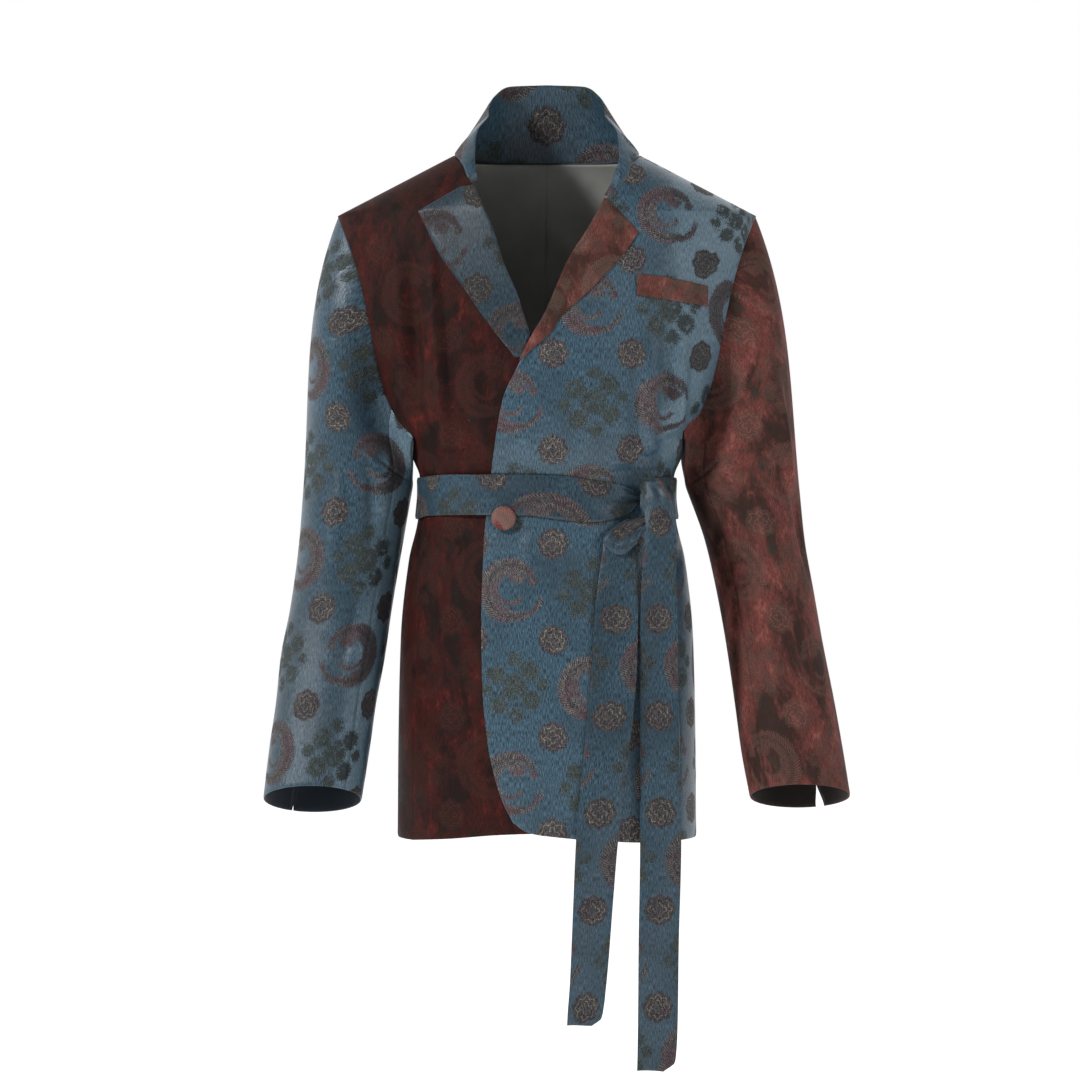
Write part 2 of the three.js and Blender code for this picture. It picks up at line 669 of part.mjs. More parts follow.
function addSleeve(side, rows, vent, material) {
  const prefix = side < 0 ? 'right' : 'left';
  const length = rows.at(-1).z - rows[0].z;
  const open = (along) => SLEEVE_GAP_ANGLE + vent.halfAngle * smooth(along, 2 - vent.length / length, 2);
  const top = (u, along) => {
    const from = BACK_SLEEVE_SEAM + open(along);
    return sleeveSurface(rows, side, mix(from, FRONT_SLEEVE_SEAM - SLEEVE_GAP_ANGLE, u), along);
  };
  const under = (u, along) => {
    const to = BACK_SLEEVE_SEAM + 2 * HALF_TURN - open(along);
    return sleeveSurface(rows, side, mix(FRONT_SLEEVE_SEAM + SLEEVE_GAP_ANGLE, to, u), along);
  };
  addWall(`${prefix}_sleeve_top`, material, TOP_COLUMNS, SLEEVE_ROWS, top);
  addWall(`${prefix}_sleeve_under`, material, UNDER_COLUMNS, SLEEVE_ROWS, under);
}

// The belt: it climbs onto the overlapping front, and evens out past the front's own levels
const BELT_CLIMB = { from: -112, to: -72 };
const BELT_FRONT_END = { from: -134, to: -120 };
const BELT_MIDDLE_Z = -352;

function beltLift(x) {
  const climb = smooth(x, BELT_CLIMB.from, BELT_CLIMB.to);
  return BELT_GAP + BELT_CLOTH + OVERLAP_LIFT * overlapShare(x) * climb;
}

function addBeltBand() {
  const from = angleOf(KNOT_LEFT_X, BELT_MIDDLE_Z);
  const to = angleOf(BAND_END_X, BELT_MIDDLE_Z) - 2 * HALF_TURN;
  const surface = (u, v) => {
    const angle = mix(from, to, u);
    const x = ringPoint(angle, BELT_MIDDLE_Z).x;
    const front = Math.cos(angle) > 0;
    const near = front && x > BELT_FRONT_END.from && u < 0.5;
    const share = near ? 1 - smooth(x, BELT_FRONT_END.to, BELT_FRONT_END.from) : 0;
    const top = mix(BELT_BACK.top, read(BELT_FRONT, 'x', 'top', x), share);
    const low = mix(BELT_BACK.low, read(BELT_FRONT, 'x', 'low', x), share);
    return torsoPoint(angle, mix(low, top, v), front && u < 0.6 ? beltLift(x) : BELT_GAP + BELT_CLOTH);
  };
  addWall('belt_band', BLUE, spread(0, 1, 46), spread(0, 1, 4), surface, BELT_CLOTH);
}

// A belt end hangs as a flat band, and curls a little across its width
const TAIL_CURL = { across: 1.4, length: 190 };

function addTail(name, rows, curl) {
  const low = rows[0].z;
  const high = rows.at(-1).z;
  const position = (u, z) => {
    const x = mix(read(rows, 'z', 'left', z), read(rows, 'z', 'right', z), u);
    const wave = curl * Math.sin(HALF_TURN * (u * TAIL_CURL.across - (z - low) / TAIL_CURL.length));
    return new THREE.Vector3(x, read(rows, 'z', 'y', z) + wave, z);
  };
  const surface = (u, z) => {
    const across = position(u + 0.02, z).sub(position(u - 0.02, z));
    const up = position(u, Math.min(z + 2, high)).sub(position(u, Math.max(z - 2, low)));
    return { point: position(u, z), normal: across.cross(up).normalize() };
  };
  const levels = [low, ...rows.slice(1, 3).map((row) => row.z), ...spread(rows[3].z, high, 15)];
  addWall(name, BLUE, spread(0, 1, 6), levels, surface, BELT_CLOTH);
}

// The knot: gathered cloth that leaves the band, swells and narrows to the short end
const KNOT = [
  { z: -409, x: 75, y: -106, wide: 17, deep: 4 },
  { z: -402, x: 76.5, y: -106, wide: 19, deep: 5 },
  { z: -392, x: 80, y: -104, wide: 19, deep: 6 },
  { z: -383, x: 91, y: -101, wide: 16, deep: 7 },
  { z: -374, x: 107, y: -94, wide: 13, deep: 9 },
  { z: -362, x: 110, y: -89, wide: 19.6, deep: 11 },
  { z: -352, x: 110.5, y: -87, wide: 19.6, deep: 10 },
  { z: -345, x: 111, y: -87, wide: 13, deep: 6 },
];

const KNOT_SIDES = 16;
const KNOT_LEVELS = 10;

function addKnot() {
  const sides = KNOT_SIDES;
  const levels = spread(KNOT[0].z, KNOT.at(-1).z, KNOT_LEVELS);
  const points = [];
  for (const z of levels) {
    for (let index = 0; index < sides; index += 1) {
      const turn = (2 * HALF_TURN * index) / sides;
      const x = read(KNOT, 'z', 'x', z) + read(KNOT, 'z', 'wide', z) * Math.cos(turn);
      const y = read(KNOT, 'z', 'y', z) + read(KNOT, 'z', 'deep', z) * Math.sin(turn);
      points.push(new THREE.Vector3(x, y, z));
    }
  }
  const faces = [];
  for (let row = 0; row < levels.length - 1; row += 1) {
    for (let index = 0; index < sides; index += 1) {
      const next = (index + 1) % sides;
      const corners = [row * sides + index, row * sides + next, (row + 1) * sides + next, (row + 1) * sides + index];
      faces.push([corners[0], corners[1], corners[2]], [corners[0], corners[2], corners[3]]);
    }
  }
  const top = (levels.length - 1) * sides;
  for (let index = 1; index < sides - 1; index += 1) {
    faces.push([0, index + 1, index], [top, top + index, top + index + 1]);
  }
  makeMesh('belt_knot', BLUE, points, faces);
}

// Small pieces

const WELT_BOW = 1.5;

function addWelt() {
  const surface = (u, v) => {
    const x = mix(WELT.left, WELT.right, u);
    const bow = WELT_BOW * Math.sin(HALF_TURN * u) * v;
    const low = mix(WELT.leftLow, WELT.rightLow, u);
    const high = mix(WELT.leftTop, WELT.rightTop, u) + bow;
    const z = mix(low, high, v);
    return torsoPoint(angleOf(x, z), z, OVERLAP_LIFT * overlapShare(x) + LAY_GAP + CLOTH);
  };
  addWall('breast_welt', RED, spread(0, 1, 8), spread(0, 1, 2), surface);
}

function addButton() {
  const { x, z, radius, thickness, shankRadius } = BUTTON;
  const seat = torsoPoint(angleOf(x, z), z, OVERLAP_LIFT + SEAM_GAP + SHANK_SEAT);
  const back = BELT_CLOTH + LAY_GAP + SHANK_EXTRA;
  const profile = [
    [0, 0],
    [shankRadius, 0],
    [shankRadius, back],
    [radius * 0.8, back],
    [radius * 0.96, back + thickness * 0.2],
    [radius, back + thickness * 0.4],
    [radius * 0.93, back + thickness * 0.66],
    [radius * 0.72, back + thickness * 0.86],
    [radius * 0.4, back + thickness * 0.97],
    [0, back + thickness],
  ];
  const geometry = new THREE.LatheGeometry(profile.map(([r, h]) => new THREE.Vector2(r, h)), 24);
  const mesh = new THREE.Mesh(geometry, RED);
  mesh.name = 'button';
  mesh.position.copy(seat.point);
  mesh.quaternion.setFromUnitVectors(new THREE.Vector3(0, 1, 0), seat.normal);
  garment.add(mesh);
}

// How far short of the shoulder and armhole seams the lining ends, as an angle
const LINING_SEAM = { shoulder: 0.06, armhole: 0.03 };

function addLining(name, side) {
  const levels = PANEL_LEVELS.filter((z) => z > LINING_END_Z);
  const surface = (u, v) => {
    const z = levels[v];
    const seam = z > SHOULDER_Z ? LINING_SEAM.shoulder : LINING_SEAM.armhole;
    const centre = angleOf(side * SEAM_GAP / 2, z, true);
    return torsoPoint(mix(centre, outerAngle(z, side, true) + side * seam, u), z, -CLOTH - LINING_GAP);
  };
  addWall(name, GREY, spread(0, 1, 9), levels.keys().toArray(), surface, LINING_CLOTH);
}

const leftEdgeAt = (z) => read(LEFT_FRONT_EDGE, 'z', 'x', z);
const rightRollAt = (z) => Math.min(read(RIGHT_FRONT_EDGE, 'z', 'x', z), leftEdgeAt(z) - LAPEL_CLEARANCE);
const rightLift = () => 0;
const leftLift = (x) => OVERLAP_LIFT * overlapShare(x);
const RIGHT_LAPEL_LEVELS = [-211, -196, -176, -158, -141, -122, -103, -88, -72, -57.5, -49, -40, -31.5];
const LEFT_LAPEL_LEVELS = [-215, -202, -185, -170, -148, -130, -111, -95, -79.7, -68, -57, -47];

addFront('right_front', RED, -1, RIGHT_FRONT_EDGE, RIGHT_HEM, RIGHT_FRONT_NECK_END, rightLift);
addFront('left_front', BLUE, 1, LEFT_FRONT_EDGE, LEFT_HEM, LEFT_FRONT_NECK_END, leftLift);
addSide('right_side', RED, -1);
addSide('left_side', BLUE, 1);
addBack('right_back', RED, -1);
addBack('left_back', BLUE, 1);
addLapel('right_lapel', BLUE, RIGHT_LAPEL_LEVELS, RIGHT_LAPEL_EDGE, rightRollAt, rightLift);
addLapel('left_lapel', RED, LEFT_LAPEL_LEVELS, LEFT_LAPEL_EDGE, leftEdgeAt, leftLift);
addCollar();
addSleeve(-1, RIGHT_SLEEVE, RIGHT_VENT, BLUE);
addSleeve(1, LEFT_SLEEVE, LEFT_VENT, RED);
addLining('right_back_lining', -1);
addLining('left_back_lining', 1);
addBeltBand();
addKnot();
addTail('belt_tail_long', LONG_TAIL, 2);
addTail('belt_tail_short', SHORT_TAIL, 1.5);
addWelt();
addButton();

export default garment;
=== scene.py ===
"""A belted brocade blazer, filled out as if worn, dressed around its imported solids."""
import math

import bpy
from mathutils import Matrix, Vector
import numpy as np


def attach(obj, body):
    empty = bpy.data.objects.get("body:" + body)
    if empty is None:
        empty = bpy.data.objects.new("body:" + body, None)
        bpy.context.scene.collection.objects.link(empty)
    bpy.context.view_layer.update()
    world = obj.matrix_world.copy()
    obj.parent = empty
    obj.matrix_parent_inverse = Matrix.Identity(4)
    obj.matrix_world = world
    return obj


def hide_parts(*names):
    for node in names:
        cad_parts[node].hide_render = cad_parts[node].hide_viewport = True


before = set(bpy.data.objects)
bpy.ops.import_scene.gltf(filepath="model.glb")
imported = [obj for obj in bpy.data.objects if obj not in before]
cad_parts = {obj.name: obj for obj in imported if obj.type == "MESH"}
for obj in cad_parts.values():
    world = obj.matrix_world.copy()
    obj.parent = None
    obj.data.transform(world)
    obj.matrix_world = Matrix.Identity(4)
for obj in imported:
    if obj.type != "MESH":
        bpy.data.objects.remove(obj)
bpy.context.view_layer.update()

# Sizes are in millimetres and turned into metres as each mesh is made
MM = 0.001
CLOTH = 1.6
LINING_CLOTH = 0.8
BELT_CLOTH = 2.2
LAY_GAP = 0.4
BELT_GAP = 1.2
LINING_GAP = 1.9
OVERLAP_LIFT = 3.2
OVERLAP_END_X = 44
OVERLAP_EASE = 50

SHOULDER_X = 222
SHOULDER_Z = -56
SHOULDER_SLOPE = 0.52
ARMPIT_Z = -294
UNDERARM_Z = -298
HEM_Z = -712
TORSO_TOP_Z = 11
ROUNDNESS = 2.4
TURN = 2 * math.pi
HALF = math.pi
QUARTER = math.pi / 2


def table(columns, rows):
    """Return named columns of a table, sorted by the first column."""
    ordered = sorted(rows)
    return {name: np.array([row[i] for row in ordered], float) for i, name in enumerate(columns.split())}


TORSO = table("z half front back", [
    (-712, 158.5, 120, 112), (-600, 157.5, 118, 114), (-500, 155, 113, 112), (-420, 146.5, 105, 104),
    (-378, 137, 99, 95), (-350, 134.5, 97.5, 93), (-332, 135, 98.5, 94), (-316, 141, 108, 101),
    (-298, 149, 113.5, 106), (-250, 173, 118, 112), (-200, 193, 117, 115), (-150, 209, 113, 114),
    (-100, 219, 105, 108), (-56, 222, 96, 99), (-28, 168, 88, 91), (0, 114, 78, 82), (12, 92, 72, 77)])
ARMHOLE = table("z front back", [
    (-294, 142, 142), (-271, 159, 158), (-251, 169, 170), (-220, 178, 181), (-171, 187, 192),
    (-128, 196.5, 201), (-96, 206, 209), (-56, 222, 222)])
SIDE_SEAMS = table("z front back", [
    (-712, 140, 124), (-600, 139, 122), (-450, 134, 116), (-350, 129, 108), (-294, 142, 142)])
NECKLINE = table("angle z", [
    (0.244, -44.6), (0.3985, -28.6), (0.75, -5), (1.1, 4), (1.571, 9), (3.15, 7.5)])
RIGHT_NECK_END = 0.3985
LEFT_NECK_END = 0.244
RIGHT_EDGE = table("z x", [
    (-712, 40), (-290, 40), (-250, 22), (-215, -4), (-185, -18), (-146, -30.6), (-112, -44.9), (-76, -56),
    (-51, -67), (-28.6, -76.7)])
LEFT_EDGE = table("z x", [
    (-690, -35), (-668, -46), (-636, -55.5), (-600, -62), (-545, -66.5), (-485, -67.4), (-406, -65.1),
    (-350, -60), (-303, -54.1), (-254, -45.5), (-216, -28.4), (-190, -16.4), (-170, -4.5), (-139, 9.2),
    (-111, 21.3), (-78, 41.8), (-44.6, 60.8)])
LEFT_HEM = table("across z", [
    (0, -690), (0.07, -700.5), (0.2, -706), (0.4, -709.5), (0.65, -712), (1, -712)])
RIGHT_HEM = table("across z", [(0, -700), (0.35, -703), (0.65, -708), (1, -712)])
HEM_FADE = 130
RIGHT_LAPEL = table("z x", [
    (-211, -33), (-176, -60.7), (-141, -84.5), (-103, -111.4), (-57.5, -133.6), (-31.5, -89)])
LEFT_LAPEL = table("z x", [
    (-215, -28), (-202, -14.7), (-185, 4.5), (-170, 13.3), (-148, 37.1), (-111, 73.2), (-79.7, 94.7),
    (-47, 63.5)])
LAPEL_ROLL_RISE = 3
LAPEL_CLEARANCE = 1.2
COLLAR = table("angle height lean", [
    (0.24, 10, 8), (0.4, 13, 10), (0.75, 19, 17), (1.1, 29, 25), (1.57, 44, 35), (2.1, 67, 35),
    (2.6, 80, 30), (3.15, 83, 27)])
COLLAR_SEAT = 0.5
RIGHT_SLEEVE = table("z outer inner middle depth slope", [
    (-668, 294.8, 192.5, -86, 42.5, 0.4), (-613, 289.6, 184.8, -62, 45.5, 0.38),
    (-570, 284.5, 179.5, -44, 48.5, 0.33), (-525, 281, 171.5, -28, 52, 0.26),
    (-470, 271.5, 164, -12, 57, 0.16), (-400, 263, 152.5, 0, 62, 0.06), (-345, 259, 143, 4, 64, 0)])
LEFT_SLEEVE = table("z outer inner middle depth slope", [
    (-665, 314.9, 210.5, -86, 42.5, 0.36), (-616, 308.5, 202.5, -64, 45.5, 0.34),
    (-572, 302, 197.5, -46, 48.5, 0.3), (-508, 291, 189.2, -24, 53, 0.22),
    (-454, 282.6, 180, -10, 57, 0.14), (-400, 273.8, 168, 0, 61, 0.06), (-345, 268.5, 148.5, 4, 64, 0)])
FRONT_SLEEVE_SEAM = 2.34
BACK_SLEEVE_SEAM = -1.09
# Along its seams a sleeve dips by this much, over this reach
SEAM_DIP, SEAM_REACH = 0.8, 2.2
SLEEVE_RADIUS = 60
UNDERARM_CLEARANCE = 1.6
ARMHOLE_TUCK = 0.8
ARMHOLE_EASE = 12
# Laps along the seams: as angles, and in millimetres at the neck
SEAM_LAP = 0.0003
EDGE_LAP = 0.0005
SHOULDER_LAP = 0.0006
SIDE_LAP = 0.002
SLEEVE_SEAM_LAP = 0.003
NECK_LAP = 1.2
# Over the shoulders the weave follows the flat cut, and the back's weave starts a fixed way round
SHOULDER_GRAIN_Z = -120
BACK_GRAIN_START = 120 * math.pi
BELT_FRONT = table("x top low", [
    (-134, -333, -374), (-100, -330, -373.5), (-50, -329, -373.5), (-20, -329, -374), (11, -331.5, -378),
    (43, -336.5, -381), (59, -339, -380.5), (73, -342, -378), (84, -346, -374), (92, -350, -366)])
BELT_BACK_TOP = -333
BELT_BACK_LOW = -377
KNOT_LEFT_X = 92
BAND_END_X = 124
LONG_TAIL = table("z left right y", [
    (-946, 93, 124, -117), (-936, 93.2, 132, -117), (-907, 93.6, 134, -117), (-822, 94, 135.5, -116),
    (-712, 95.7, 138.5, -115), (-600, 96, 136, -114), (-481, 96.2, 134, -113), (-430, 97.8, 133, -113),
    (-389, 101.5, 133, -110.5), (-367, 100, 131.6, -105.4), (-354, 98, 129.5, -102.9),
    (-345, 97, 125, -99)])
SHORT_TAIL = table("z left right y", [
    (-898, 20.8, 46, -127), (-890, 21, 56, -127), (-857, 23.3, 60.5, -127), (-772, 26.7, 67.6, -127),
    (-707, 29.6, 73.2, -127), (-606, 38.8, 85.6, -124.5), (-528, 46, 92.5, -118.5),
    (-468, 49.8, 93.8, -113.5), (-436, 53.5, 94.5, -109), (-409.4, 57.2, 93, -105)])
KNOT = table("z x y wide deep", [
    (-409, 75, -106, 17, 4), (-402, 76.5, -106, 19, 5), (-392, 80, -104, 19, 6), (-383, 91, -101, 16, 7),
    (-374, 107, -94, 13, 9), (-362, 110, -89, 19.6, 11), (-352, 110.5, -87, 19.6, 10),
    (-345, 111, -87, 13, 6)])

# How far the creases stand out, how the folds on the sleeves do, and where round the side all fade out
CREASE_DEPTH = 3.1
SLEEVE_FOLD_DEPTH = 1.3
SIDE_FADE = (0.05, 0.3)
# Soft folds down the panels: top x and z, bottom x and z, width and rise
FRONT_FOLDS = [
    (-143, -90, -137, -320, 9, -13), (-122, -90, -103, -328, 5, 8), (-112, -110, -94, -326, 5, -4),
    (-84, -170, -70, -326, 8, 3), (95, -205, 94, -328, 7, -5), (108, -180, 106, -330, 7, 7),
    (124, -180, 121, -328, 7, -6), (141, -175, 137, -326, 6, 7), (155, -200, 148, -320, 6, -6),
    (-112, -385, -122, -560, 11, -3), (118, -385, 128, -600, 11, -3)]
BACK_FOLDS = [
    (-96, -140, -70, -325, 12, -4), (98, -150, 74, -325, 12, -4), (-36, -385, -44, -600, 13, -3),
    (40, -385, 50, -590, 13, -3)]
# Finer creases on the fronts and backs: from x and z to x and z, width and rise
FRONT_CREASES = [
    (-152, -262, -118, -300, 5, -2.2), (-146, -240, -108, -262, 5, 1.4), (-120, -316, -72, -309, 4, -1.5),
    (-96, -321, -58, -318, 3, 1), (-88, -250, -84, -318, 5, -1.6), (-67, -262, -66, -322, 4, 1),
    (152, -268, 116, -310, 5, -2.2), (148, -246, 112, -262, 5, 1.2), (88, -318, 128, -312, 4, -1.6),
    (60, -322, 92, -318, 3, 1), (86, -230, 82, -322, 5, -1.2), (22, -262, 27, -322, 6, -0.9),
    (-24, -268, -20, -322, 6, 0.8), (56, -60, 92, -98, 7, -0.8), (-118, -385, -84, -420, 4, -1.4),
    (-92, -384, -88, -442, 4, 1), (102, -400, 66, -430, 4, -1.3), (28, -388, 31, -450, 5, -0.9),
    (-20, -386, -24, -436, 5, 0.8), (4, -386, 2, -470, 6, -0.8), (142, -400, 132, -450, 4, -1.4)]
BACK_CREASES = [
    (-150, -262, -104, -296, 6, -2), (152, -268, 108, -300, 6, -2), (-60, -316, -18, -311, 4, -1.4),
    (20, -312, 66, -318, 4, -1.4), (-58, -30, -150, -52, 7, -1), (60, -28, 148, -54, 7, -1),
    (-82, -384, -78, -440, 5, -1.2), (84, -384, 80, -450, 5, -1.2), (-6, -250, -8, -322, 7, -1),
    (-120, -390, -112, -470, 6, 1.2), (118, -390, 112, -480, 6, 1.2)]
# Folds on the sleeves: side, angle, start along, turn, reach, width as an angle, rise
SLEEVE_FOLDS = [
    (1, 0.95, 0.5, -0.42, 0.55, 0.13, 6), (1, 0.62, 0.95, -0.3, 0.4, 0.12, -4),
    (1, 2.05, 1.25, 0, 0.45, 0.14, -4), (-1, 1.75, 0.75, 0.3, 0.5, 0.14, -4),
    (-1, 1.2, 0.9, 0.2, 0.45, 0.14, 3.5), (-1, 2, 1.35, -0.2, 0.35, 0.13, -3.5)]
# Creases that cross the sleeves: side, along, slant over the angle, middle angle, half span, width, rise
SLEEVE_CREASES = [
    (-1, 0.78, 0.1, 2.3, 0.7, 0.018, -2.2), (-1, 0.9, 0.14, 2.1, 0.8, 0.016, 1.4),
    (-1, 1.06, 0.12, 1.9, 0.9, 0.02, -2), (-1, 1.17, 0.1, 2.1, 0.8, 0.016, -1.6),
    (-1, 1.3, -0.1, 1.8, 0.8, 0.016, 1.3), (-1, 1.56, 0.07, 1.7, 0.7, 0.015, -1.2),
    (-1, 1.72, -0.07, 1.9, 0.7, 0.014, -1.1), (-1, 0.34, -0.16, 1, 0.6, 0.025, -1.2),
    (1, 0.8, 0.12, 2.2, 0.7, 0.018, -2.4), (1, 0.93, 0.14, 2, 0.8, 0.016, 1.5),
    (1, 1.08, 0.12, 1.8, 0.9, 0.02, -2), (1, 1.22, -0.08, 2, 0.8, 0.016, -1.5),
    (1, 1.42, 0.08, 1.5, 0.7, 0.016, -1.3), (1, 1.62, -0.08, 1.8, 0.7, 0.014, -1.2),
    (1, 1.8, 0.05, 1.3, 0.6, 0.012, 0.9), (1, 0.3, -0.14, 1.1, 0.6, 0.025, -1.2),
    (-1, 1.05, 0.1, -1.4, 0.9, 0.02, -1.6), (1, 1.1, 0.1, -1.5, 0.9, 0.02, -1.6)]


def slopes(xs, ys):
    """Return slopes that keep a curve through a table flat at its turning points."""
    steps = np.diff(ys) / np.diff(xs)
    left, right = steps[:-1], steps[1:]
    same = left * right > 0
    inner = np.where(same, 2 * left * right / np.where(same, left + right, 1), 0)
    return np.concatenate([steps[:1], inner, steps[-1:]])


def read(rows, column, at):
    """Read a table's column at a key, along a smooth curve."""
    xs = next(iter(rows.values()))
    ys = rows[column]
    value = np.clip(at, xs[0], xs[-1])
    index = np.clip(np.searchsorted(xs, value, side="right") - 1, 0, len(xs) - 2)
    span = xs[index + 1] - xs[index]
    u = (value - xs[index]) / span
    slope = slopes(xs, ys)
    a, b = slope[index] * span, slope[index + 1] * span
    rise = ys[index + 1] - ys[index]
    return ys[index] + u * a + u * u * (3 * rise - 2 * a - b) + u ** 3 * (a + b - 2 * rise)


def mix(a, b, share):
    return a + (b - a) * share


def smooth(value, low, high):
    share = np.clip((value - low) / (high - low), 0, 1)
    return share * share * (3 - 2 * share)


def unit(vectors):
    return vectors / np.maximum(np.linalg.norm(vectors, axis=-1, keepdims=True), 1e-9)


def half_width(z):
    shoulder = SHOULDER_X - (z - SHOULDER_Z) / SHOULDER_SLOPE
    return np.where(z > SHOULDER_Z, shoulder, read(TORSO, "half", z))


def ring_point(angle, z):
    """Return points of the torso's ring: angle 0 is the centre front."""
    power = 2 / ROUNDNESS
    across, along = np.sin(angle), np.cos(angle)
    depth = np.where(along > 0, read(TORSO, "front", z), read(TORSO, "back", z))
    x = np.sign(across) * half_width(z) * np.abs(across) ** power
    y = -np.sign(along) * depth * np.abs(along) ** power
    return np.stack([x, y, z + 0 * x], axis=-1)


def ring_normal(angle, z):
    step = 0.002
    around = ring_point(angle + step, z) - ring_point(angle - step, z)
    up = ring_point(angle, np.minimum(z + 1, TORSO_TOP_Z)) - ring_point(angle, z - 1)
    return unit(np.cross(around, up))


def angle_of(x, z, back=False):
    """Return the angle whose point on the front or back has this x."""
    share = np.clip(np.abs(x) / half_width(z), 0, 1)
    angle = np.arcsin(share ** (ROUNDNESS / 2))
    return np.sign(x) * ((HALF - angle) if back else angle)


def fold_rise(x, z, folds):
    total = 0 * x
    for top_x, top_z, end_x, end_z, width, rise in folds:
        along = np.clip((z - top_z) / (end_z - top_z), 0, 1)
        offset = (x - mix(top_x, end_x, along)) / width
        total = total + rise * np.sin(HALF * along) * np.exp(-offset * offset)
    return total


def crease_rise(x, z, creases):
    total = 0 * x
    for x0, z0, x1, z1, width, rise in creases:
        length = math.hypot(x1 - x0, z1 - z0)
        dx, dz = (x1 - x0) / length, (z1 - z0) / length
        along = np.clip(((x - x0) * dx + (z - z0) * dz) / length, 0, 1)
        bow = 0.06 * length * np.sin(HALF * along)
        offset = ((x - x0) * dz - (z - z0) * dx + bow) / width
        total = total + rise * np.sin(HALF * along) * np.exp(-offset * offset)
    return total


def torso(angle, z, lift=0.0, creased=1.0):
    """Return cloth points on the torso, moved out by lift and by its folds and creases."""
    point = ring_point(angle, z)
    x, depth = point[..., 0], creased * CREASE_DEPTH
    fade = smooth(np.abs(np.cos(angle)), *SIDE_FADE)
    front_rise = fold_rise(x, z, FRONT_FOLDS) + depth * crease_rise(x, z, FRONT_CREASES)
    back_rise = fold_rise(x, z, BACK_FOLDS) + depth * crease_rise(x, z, BACK_CREASES)
    total = lift + fade * np.where(np.cos(angle) > 0, front_rise, back_rise)
    return point + ring_normal(angle, z) * total[..., None]


def overlap_share(x):
    return 1 - smooth(x, OVERLAP_END_X, OVERLAP_END_X + OVERLAP_EASE)


def arc_length(angle, z):
    """Return the length round the ring from the centre front, negative to the wearer's right."""
    steps = np.linspace(0, 1, 49)
    points = ring_point(angle[..., None] * steps, z[..., None] + 0 * steps)
    lengths = np.linalg.norm(np.diff(points, axis=-2), axis=-1).sum(axis=-1)
    return np.sign(angle) * lengths


def width_along(angle, z):
    """Return the length round the body; over the shoulders it follows x, as a flat cut would."""
    x = ring_point(angle, z)[..., 0]
    level = np.minimum(z, SHOULDER_GRAIN_Z)
    back = np.abs(angle) > QUARTER
    front_length = arc_length(angle_of(x, level), level)
    back_length = arc_length(angle_of(x, level, True), level)
    return np.where(z < SHOULDER_GRAIN_Z, arc_length(angle, z), np.where(back, back_length, front_length))


def neck_angle(z):
    keys = np.linspace(LEFT_NECK_END, 1.571, 400)
    return np.interp(z, read(NECKLINE, "z", keys), keys)


def outer_angle(z, side, back):
    """Return the angle where a front or back ends at the sleeve, shoulder or side seam."""
    column = "back" if back else "front"
    away = 1 if back else -1
    arm = np.abs(angle_of(read(ARMHOLE, column, z), z, back))
    seam = np.abs(angle_of(read(SIDE_SEAMS, column, z), z, back))
    angle = np.where(z >= ARMPIT_Z, arm, seam) + away * EDGE_LAP
    return side * np.where(z > SHOULDER_Z, QUARTER + away * SHOULDER_LAP, angle)


def grid(columns, rows):
    return np.meshgrid(columns, rows, indexing="ij")


def finer(values, factor):
    """Split each step of a list of levels into equal smaller steps."""
    values = np.array(values, float)
    steps = [np.linspace(a, b, factor, endpoint=False) for a, b in zip(values[:-1], values[1:])]
    return np.append(np.concatenate(steps), values[-1])


def eased(count):
    """Return shares from 0 to 1 that lie closer together at both ends."""
    inner = np.linspace(0, 1, count)
    return np.concatenate([[0, 0.004, 0.012], inner[1:-1], [0.988, 0.996, 1]])


PANEL_LEVELS = np.concatenate([
    [-712, -711, -709], finer([-705, -645, -560, -470, -400, -380, -334, -294], 9),
    finer([-294, -251, -200, -146, -96, -80, -70, -63, -59.5, -56, -28.6, -6, 8.8], 6)[1:]])


# The rim of the cloth is rounded over this length
RIM_REACH = 1.1


def rim_drop(points, soft_edge):
    """Return how far the surface drops towards the rim of the cloth."""
    away = np.full(points.shape[:2], np.inf)
    for edge in (points[:1], points[-1:], points[:, :1], points[:, -1:]):
        away = np.minimum(away, np.linalg.norm(points - edge, axis=-1))
    return soft_edge * np.exp(-(away / RIM_REACH) ** 2)


def shell_faces(columns, rows, outward):
    """Return the faces of a closed sheet, outside, inside and rims, and how many lie outside."""
    count = columns * rows
    index = np.arange(count).reshape(columns, rows)
    quads = np.stack([index[:-1, :-1], index[1:, :-1], index[1:, 1:], index[:-1, 1:]], -1).reshape(-1, 4)
    rims = []
    for line, turned in ((index[:, 0], True), (index[:, -1], False), (index[0], False), (index[-1], True)):
        a, b = line[:-1], line[1:]
        rim = np.stack([a, b, b + count, a + count], -1)
        rims.append(rim[:, ::-1] if turned else rim)
    faces = np.concatenate([quads, quads[:, ::-1] + count] + rims)
    return (faces[:, ::-1] if outward < 0 else faces), len(quads)


def add_mesh(name, points, faces, grain, materials, slots=None):
    """Add an object made of points in millimetres, with its place in the weave as its map."""
    mesh = bpy.data.meshes.new(name)
    mesh.from_pydata((points * MM).tolist(), [], faces)
    for material in materials:
        mesh.materials.append(material)
    if slots is not None:
        mesh.polygons.foreach_set("material_index", slots)
    mesh.polygons.foreach_set("use_smooth", np.ones(len(faces), bool))
    layer = mesh.uv_layers.new(name="grain")
    corners = np.zeros(len(mesh.loops), int)
    mesh.loops.foreach_get("vertex_index", corners)
    layer.data.foreach_set("uv", (grain * MM)[corners].ravel())
    mesh.update()
    built = bpy.data.objects.new(name, mesh)
    bpy.context.scene.collection.objects.link(built)
    return built


